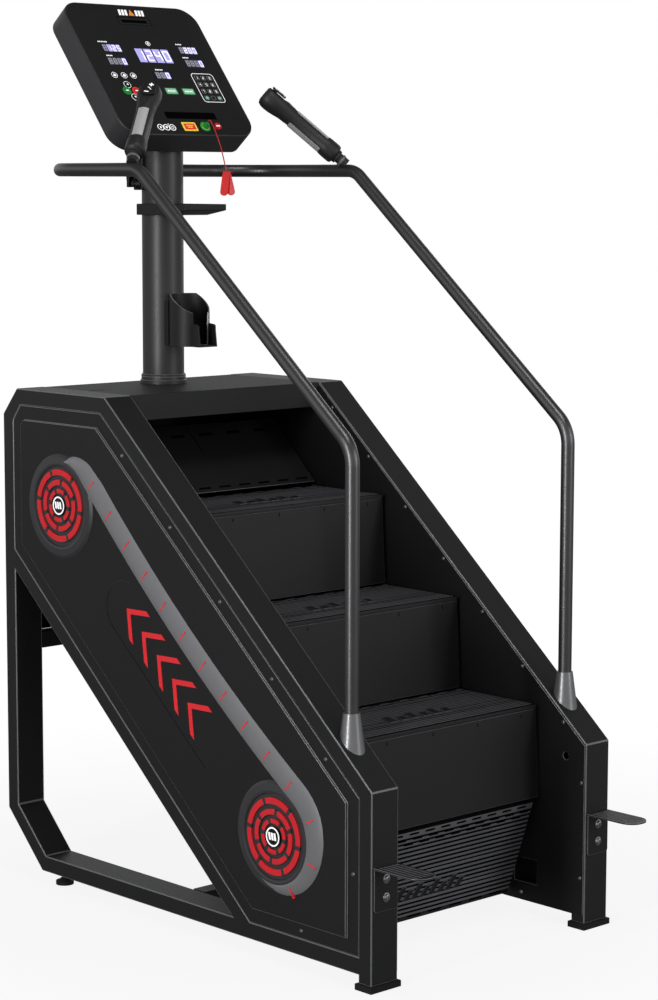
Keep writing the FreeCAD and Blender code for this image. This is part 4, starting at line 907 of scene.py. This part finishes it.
DIGIT_SEGMENTS = {0: "abcdef", 1: "bc", 2: "abged", 3: "abgcd", 4: "fgbc", 5: "afgcd", 6: "afgcde",
                  7: "abc", 8: "abcdefg", 9: "abcdfg"}


def segments_of(value, wide, high, across, thick):
    """The centre and size of each bar of a figure; wide and high are between the bars' middles."""
    places = {"a": (0, high / 2, across, thick), "g": (0, 0, across, thick), "d": (0, -high / 2, across, thick),
              "f": (-wide / 2, high / 4, thick, high / 2), "b": (wide / 2, high / 4, thick, high / 2),
              "e": (-wide / 2, -high / 4, thick, high / 2), "c": (wide / 2, -high / 4, thick, high / 2)}
    return [places[key] for key in DIGIT_SEGMENTS[value]]


def digit(form, centre, wide, high, value, lit):
    """One cell of a display: its backing and the segments of a figure."""
    x, y = centre
    cell = 1 if lit else 0
    level = 0.06
    slab(form, rounded(centre, (wide * 1.16, high * 1.16), 0.6, 1), -0.05, level, CONSOLE, cell)
    thick = wide * 0.2
    shrink = 0.8
    for dx, dy, across, tall in segments_of(value, wide, high, wide, thick):
        middle = (x + dx * shrink, y + dy * shrink)
        slab(form, rounded(middle, (across * shrink, tall * shrink), thick * 0.3, 1), level, level + 0.12,
             CONSOLE, 2 + cell)


def ring(form, centre, outer, inner, low, high, place, slot=0, count=24):
    """A flat round outline."""
    strip(form, arc(centre, inner, 0, 360, count)[:-1], arc(centre, outer, 0, 360, count)[:-1], low, high,
          place, slot, closed=True)


def frame_line(form, centre, size, radius, line, low, high, slot=0):
    """A thin outline with round corners."""
    strip(form, rounded(centre, (size[0] - 2 * line, size[1] - 2 * line), radius - line),
          rounded(centre, size, radius), low, high, CONSOLE, slot, closed=True)


# Each display: centre, cell size, figures, and how many of them are lit from the right.
DISPLAYS = [((-107, 247), (9.6, 17.5), (8, 1, 2, 5), 3), ((-109.5, 208.5), (9.6, 17.0), (8, 8, 8, 0), 1),
            ((4.5, 229), (18.5, 34.0), (1, 2, 4, 0), 4), ((114.5, 249.7), (9.6, 17.0), (8, 2, 0, 0), 3),
            ((114.5, 211), (9.6, 17.5), (8, 8, 8, 0), 1), ((1.5, 172), (10.5, 16.5), (8, 8, 0), 1)]
form = bmesh.new()
for (x, y), (wide, high), figures, lit in DISPLAYS:
    pitch = wide * 1.34
    for i, value in enumerate(figures):
        digit(form, (x + (i - (len(figures) - 1) / 2) * pitch, y), wide, high, value, i >= len(figures) - lit)
finish_piece("display_figures", form, "root", [cell_dim, cell_lit, segment_dim, segment_lit])

form = bmesh.new()
for x, y, wide in ((-122, 264.5, 30), (-121, 224.5, 22), (97, 266.5, 18), (99, 227.5, 20), (1, 188, 26)):
    for i in range(int(wide // 4.5)):
        bars(form, CONSOLE, y, [x - wide / 2 + 4.5 * i], (3.4, 3.6), -0.2, 0.25)
# A generic mark over the port: leaning bars round a small triangle.
for x in (-31, -22, -13, 17, 26, 35):
    slab(form, [(x - 4.6, 347), (x + 1.6, 347), (x + 4.6, 363.5), (x - 1.6, 363.5)], -0.2, 0.3, CONSOLE)
slab(form, [(-7, 347), (9.5, 347), (1.5, 365)], -0.2, 0.3, CONSOLE, 1)
# Round icons and keys.
ring(form, (5, 265), 6.4, 5.2, -0.2, 0.3, CONSOLE)
bars(form, CONSOLE, 265, [5], (3.2, 7.5), -0.2, 0.3)
for x in (-139, -112, -86):
    ring(form, (x, 168), 8.2, 7.2, -0.2, 0.3, CONSOLE)
    slab(form, [(x - 4.6, 165), (x + 3, 164), (x + 5, 169), (x - 1, 172.5)], -0.2, 0.35, CONSOLE)
for x in (-83, -66, -49):
    ring(form, (x, 21.5), 8.8, 7.0, -0.2, 0.3, CONSOLE)
bars(form, CONSOLE, 21.5, [-83], (4.4, 6.4), -0.2, 0.3)
slab(form, arc((-67.8, 22.5), 2.1, 0, 180, 4) + [(-66, 18)], -0.2, 0.3, CONSOLE)
slab(form, arc((-64.2, 22.5), 2.1, 0, 180, 4) + [(-66, 18)], -0.2, 0.3, CONSOLE)
slab(form, [(-59, 30), (-57, 33), (-55, 30)], -0.2, 0.3, CONSOLE)
ring(form, (-49, 21.5), 3.6, 2.4, -0.2, 0.3, CONSOLE)
# Outlines of the key cluster and the keypad.
for x, y in ((-116.4, 141.3), (-111.8, 106.1)):
    ring(form, (x, y), 9.6, 8.6, -0.2, 0.3, CONSOLE)
frame_line(form, (117, 139.5), (65, 84), 9, 1.4, -0.2, 0.3)
for column in range(3):
    for row in range(4):
        centre = (98.5 + 18.5 * column, 168.5 - 19.5 * row)
        frame_line(form, centre, (12.5, 12), 3.2, 0.8, -0.2, 0.2, 2)
        if row < 3:
            value = 1 + column + 3 * row
            x, y = centre
            for dx, dy, across, tall in segments_of(value, 3.4, 6, 3, 1):
                slab(form, rounded((x + dx, y + dy), (across, tall), 0.2, 1), -0.2, 0.25, CONSOLE)
for x in (98.5, 135.5):
    bars(form, CONSOLE, 110, [x], (8.6, 8.4), -0.2, 0.5, 3)
finish_piece("console_print", form, "root", [white_ink_painted_glow, orange_ink, grey_ink, mint_key])

form = bmesh.new()
for x in (2, 52):
    slab(form, rounded((x, 126.5), (35, 19), 2.5), -0.2, 0.5, CONSOLE, 1)
    slab(form, rounded((x, 126.5), (30, 14.5), 2), 0.4, 0.9, CONSOLE)
    for i in range(5):
        bars(form, CONSOLE, 126.5, [x - 9 + 4.5 * i], (3.2, 3.8), 0.8, 1.05, 2)
slab(form, rounded((2, 24.8), (40, 24.5), 2.5), -0.2, 0.4, CONSOLE, 3)
slab(form, rounded((2, 24.8), (31, 16.5), 1.5), 0.3, 0.7, CONSOLE, 4)
bars(form, CONSOLE, 27.5, [2], (20, 2.6), 0.6, 0.9, 3)
bars(form, CONSOLE, 22.5, [2], (14, 2.6), 0.6, 0.9, 3)
for x, y, slot in ((-126.0, 123.8, 5), (-99.3, 123.7, 4)):
    ring(form, (x, y), 11.2, 7.6, -0.2, 0.5, CONSOLE, slot)
finish_piece("membrane_keys", form, "root",
             [mint_key, mint_dark, white_ink_painted_glow, yellow_ink, label_red, green_gloss])

form = bmesh.new()
port = (0, 331)
slab(form, rounded(port, (97.4, 25.4), 3.6), -2.4, -1.6, CONSOLE)
frame_line(form, port, (84, 15.5), 3, 1.0, -1.7, -0.9, 1)
# The near-black pieces in the port and in the ledge slot are painted shade inside these recesses.
slab(form, rounded(port, (70, 7.5), 2), -1.7, -1.3, CONSOLE, 2)
slab(form, rounded((22, 57), (147.4, 19.4), 2.6), -2.4, -1.4, CONSOLE, 2)
finish_piece("console_inserts", form, "root", [gloss_black, abs_grey, painted_gap_shade])

form = bmesh.new()
ring(form, (46.8, 25.1), 13.5, 9.2, -0.2, 1.2, CONSOLE, 0, 32)
ring(form, (46.8, 25.1), 9.4, 8.7, -0.2, 1.6, CONSOLE, 1, 32)
finish_piece("key_socket_ring", form, "root", [green_gloss, yellow_ink], bevel=0.3)

form = bmesh.new()
bars(form, CONSOLE, 24.9, [81.9], (11.5, 3.4), 4.4, 4.9)
finish_piece("stop_button_bar", form, "stop_button", [white_ink_painted_glow])
for body, centre, way in (("key_up", (-116.4, 141.3), 1), ("key_down", (-111.8, 106.1), -1)):
    form = bmesh.new()
    x, y = centre
    slab(form, [(x - 3.2, y - way * 1.8), (x + 3.2, y - way * 1.8), (x, y + way * 3.4)], 1.5, 1.8, CONSOLE)
    finish_piece(body + "_arrow", form, body, [white_ink_painted_glow])
for body, (x, y) in (("key_start", (-126.0, 123.8)), ("key_pause", (-99.3, 123.7))):
    form = bmesh.new()
    bars(form, CONSOLE, y, [x], (8.5, 2.6), 1.5, 1.8)
    finish_piece(body + "_bar", form, body, [white_ink_painted_glow])

# ---------------------------------------------------------------- grips

GRIP_BASE = (300.0, 229.6, 1613.5)
GRIP_TIP = (163.0, 337.0, 1761.0)


def grip_place(side):
    """A grip's own frame: Z along it from the rail, Y the way its switch faces."""
    base = at(side * GRIP_BASE[0], GRIP_BASE[1], GRIP_BASE[2])
    tip = at(side * GRIP_TIP[0], GRIP_TIP[1], GRIP_TIP[2])
    axis = (tip - base).normalized()
    toward = Vector((side * 0.7, -0.7, 0.2))
    facing = (toward - axis * toward.dot(axis)).normalized()
    across = facing.cross(axis)
    turn = Matrix((across, facing, axis)).transposed().to_4x4()
    return Matrix.Translation(base) @ turn, (tip - base).length / MM


def shell_plate(form, place, radius, thick, middle, half_angle, start, stop, count=18):
    """A thin plate curved round the grip."""
    inner = [(radius * math.cos(math.radians(a)), radius * math.sin(math.radians(a)))
             for a in [middle - half_angle + 2 * half_angle * i / count for i in range(count + 1)]]
    outer = [(x * (radius + thick) / radius, y * (radius + thick) / radius) for x, y in inner]
    strip(form, inner, outer, start, stop, place)


for side, word in ((-1, "left"), (1, "right")):
    place, long = grip_place(side)
    form = bmesh.new()
    profile = [(12, -15), (12, 8), (13.5, 9), (15.6, 9.4), (15.6, 15), (17.5, 16.5), (20.8, 17.5), (22.4, 21),
               (22.8, 28), (22.6, 44), (21.8, 52), (19.9, 55), (19.9, 148), (20.6, 152), (21.0, 162),
               (22.0, 172),
               (24.2, 184), (26.2, 196), (26.8, 208), (25.8, 218), (22.6, 225), (16, 228), (0, 228)]
    lathe(form, [(0, -15)] + profile, place, 56)
    for vert in form.verts:
        local = place.inverted() @ vert.co
        if local.z > 0.172 and local.y > 0.0185:
            local.y = 0.0185 + (local.y - 0.0185) * 0.15
            vert.co = place @ local
    grip = finish_piece("grip_moulded_" + word, form, "root", [grip_rubber], sharp=50)
    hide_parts("grip_" + word)
    form = bmesh.new()
    for middle in (90 + side * 4, 270 + side * 30):
        shell_plate(form, place, 19.9, 1.5, middle, 32, 54, 143)
    sensors = finish_piece("grip_sensors_" + word, form, "root", [sensor_steel])
    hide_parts("grip_sensors")
    # The rocker is a long pad on the head, with a plus, a slash and a minus; it is drawn in the black moulded
    # ABS finish.
    pad = place @ Matrix.Translation(at(0, 22.2, long - 25)) @ Matrix.Rotation(math.radians(-90), 4, "X")
    form = bmesh.new()
    slab(form, rounded((0, 0), (29, 37), 8), 0, 3.8, pad)
    slab(form, rounded((0, -10), (16, 12), 2), -1.5, 0.5, pad)
    rocker = finish_piece("rocker_pad_" + word, form, "rocker_" + word, [abs_black],
                          bevel=1.4)
    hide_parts("rocker_" + word)
    form = bmesh.new()
    bars(form, pad, -11, [-3], (11, 3), 3.6, 4.1)
    bars(form, pad, -11, [-3], (3, 11), 3.6, 4.1)
    slab(form, [(-6, 5), (-3.6, 5), (4, -3), (1.6, -3)], 3.6, 4.1, pad)
    bars(form, pad, 13, [4], (10, 3), 3.6, 4.1)
    finish_piece("rocker_marks_" + word, form, "rocker_" + word, [white_ink_painted_glow])
    # Collar where the stub meets the rail, drawn in the light painted edge highlight.
    form = bmesh.new()
    lathe(form, [(12.2, -4), (13.6, -4), (13.8, -1), (13.6, 2), (12.2, 2)], place, 40)
    finish_piece("grip_collar_" + word, form, "root", [edge_highlight_paint])

# ---------------------------------------------------------------- safety cord

# The cord runs from the key, over the panel's edge, and down to its clip, in millimetres.
CORD_EXIT = CONSOLE @ at(46.8, 25.1, 11.0)
CORD_POINTS = [(44.0, 390.5, 1701.5), (43.0, 381.5, 1699.5), (48.0, 375.5, 1683.5), (55.5, 372.0, 1662.0),
               (63.5, 369.0, 1638.0), (69.5, 367.0, 1613.0), (75.5, 365.5, 1587.0)]
CORD_RADIUS = 1.3

clip = soften("cord_clip", 1.2, clip_red, segments=3)
route = [CORD_EXIT] + [at(*point) for point in CORD_POINTS]
cord_data = bpy.data.curves.new("safety_cord_line", "CURVE")
cord_data.dimensions = "3D"
cord_data.bevel_depth = CORD_RADIUS * MM
cord_data.bevel_resolution = 4
cord_data.resolution_u = 16
cord_data.use_fill_caps = True
cord_data.materials.append(cord_red)
spline = cord_data.splines.new("NURBS")
spline.points.add(len(route) - 1)
for control, point in zip(spline.points, route):
    control.co = (*point, 1.0)
spline.order_u = 3
spline.use_endpoint_u = True
cord = bpy.data.objects.new("safety_cord_braided", cord_data)
bpy.context.scene.collection.objects.link(cord)
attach(cord, "safety_key")
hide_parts("safety_cord")

# ---------------------------------------------------------------- light and floor


def lamp(name, place, aim, size, power):
    """A soft box that points at a place."""
    data = bpy.data.lights.new(name, "AREA")
    data.shape = "RECTANGLE"
    data.size, data.size_y = size
    data.energy = power
    box = bpy.data.objects.new(name, data)
    bpy.context.scene.collection.objects.link(box)
    box.location = place
    box.rotation_euler = (Vector(aim) - Vector(place)).to_track_quat("-Z", "Y").to_euler()


lamp("overhead_box", (-0.6, -1.6, 4.4), (0, 0, 0.9), (1.2, 1.2), 30)
lamp("front_box", (1.8, -4.8, 2.0), (0, 0, 0.8), (1.0, 2.6), 40)
lamp("side_strip", (-4.8, -0.9, 1.4), (0, 0, 1.1), (0.45, 3.0), 100)
lamp("far_box", (4.6, 1.8, 2.4), (0, 0, 1.1), (0.8, 2.6), 13)

world = bpy.data.worlds.new("studio")
world.use_nodes = True
bpy.context.scene.world = world
sky = world.node_tree
sky.nodes.clear()
seen = add(sky, "ShaderNodeLightPath")
way = add(sky, "ShaderNodeSeparateXYZ", {0: add(sky, "ShaderNodeTexCoord").outputs["Generated"]})
# The room is brightest just over the horizon and dark overhead and below, as a studio cove is.
height = add(sky, "ShaderNodeMath", {0: way.outputs["Z"], 1: 0.2}, operation="SUBTRACT")
away = add(sky, "ShaderNodeMath", {0: height.outputs["Value"]}, operation="ABSOLUTE")
glow = add(sky, "ShaderNodeMapRange", {"Value": away.outputs["Value"], "From Min": 0.08, "From Max": 0.42,
                                       "To Min": 0.7, "To Max": 0.12}, interpolation_type="SMOOTHSTEP")
shade = add(sky, "ShaderNodeBackground", {"Color": linear("#f2f3f5"), "Strength": glow.outputs["Result"]})
backdrop = add(sky, "ShaderNodeBackground", {"Color": (1, 1, 1, 1), "Strength": 1.0})
mixed = add(sky, "ShaderNodeMixShader", {0: seen.outputs["Is Camera Ray"], 1: shade.outputs[0],
                                         2: backdrop.outputs[0]})
add(sky, "ShaderNodeOutputWorld", {"Surface": mixed.outputs[0]})

# Matt white paper: it glows a little more with distance, so that it runs into the backdrop with no line.
floor_paint, floor_tree, floor_mm = start("matt_white_floor")
reach = add(floor_tree, "ShaderNodeVectorMath", {0: floor_mm}, operation="LENGTH")
rise = add(floor_tree, "ShaderNodeMapRange", {"Value": reach.outputs["Value"], "From Min": 700.0,
                                              "From Max": 2600.0, "To Min": 0.88, "To Max": 1.0})
end(floor_tree, add(floor_tree, "ShaderNodeBsdfPrincipled", {
    "Base Color": (0.12, 0.12, 0.12, 1), "Roughness": 0.9, "Specular IOR Level": 0.0,
    "Emission Color": (1, 1, 1, 1), "Emission Strength": rise.outputs["Result"]}))
floor_form = bmesh.new()
slab(floor_form, [(-30000, -30000), (30000, -30000), (30000, 30000), (-30000, 30000)], -10, -0.3)
floor_mesh = bpy.data.meshes.new("floor")
floor_form.to_mesh(floor_mesh)
floor_form.free()
floor_mesh.materials.append(floor_paint)
floor = bpy.data.objects.new("floor", floor_mesh)
bpy.context.scene.collection.objects.link(floor)
floor.visible_diffuse = False
floor.visible_glossy = False
bpy.context.scene.view_settings.view_transform = "Standard"
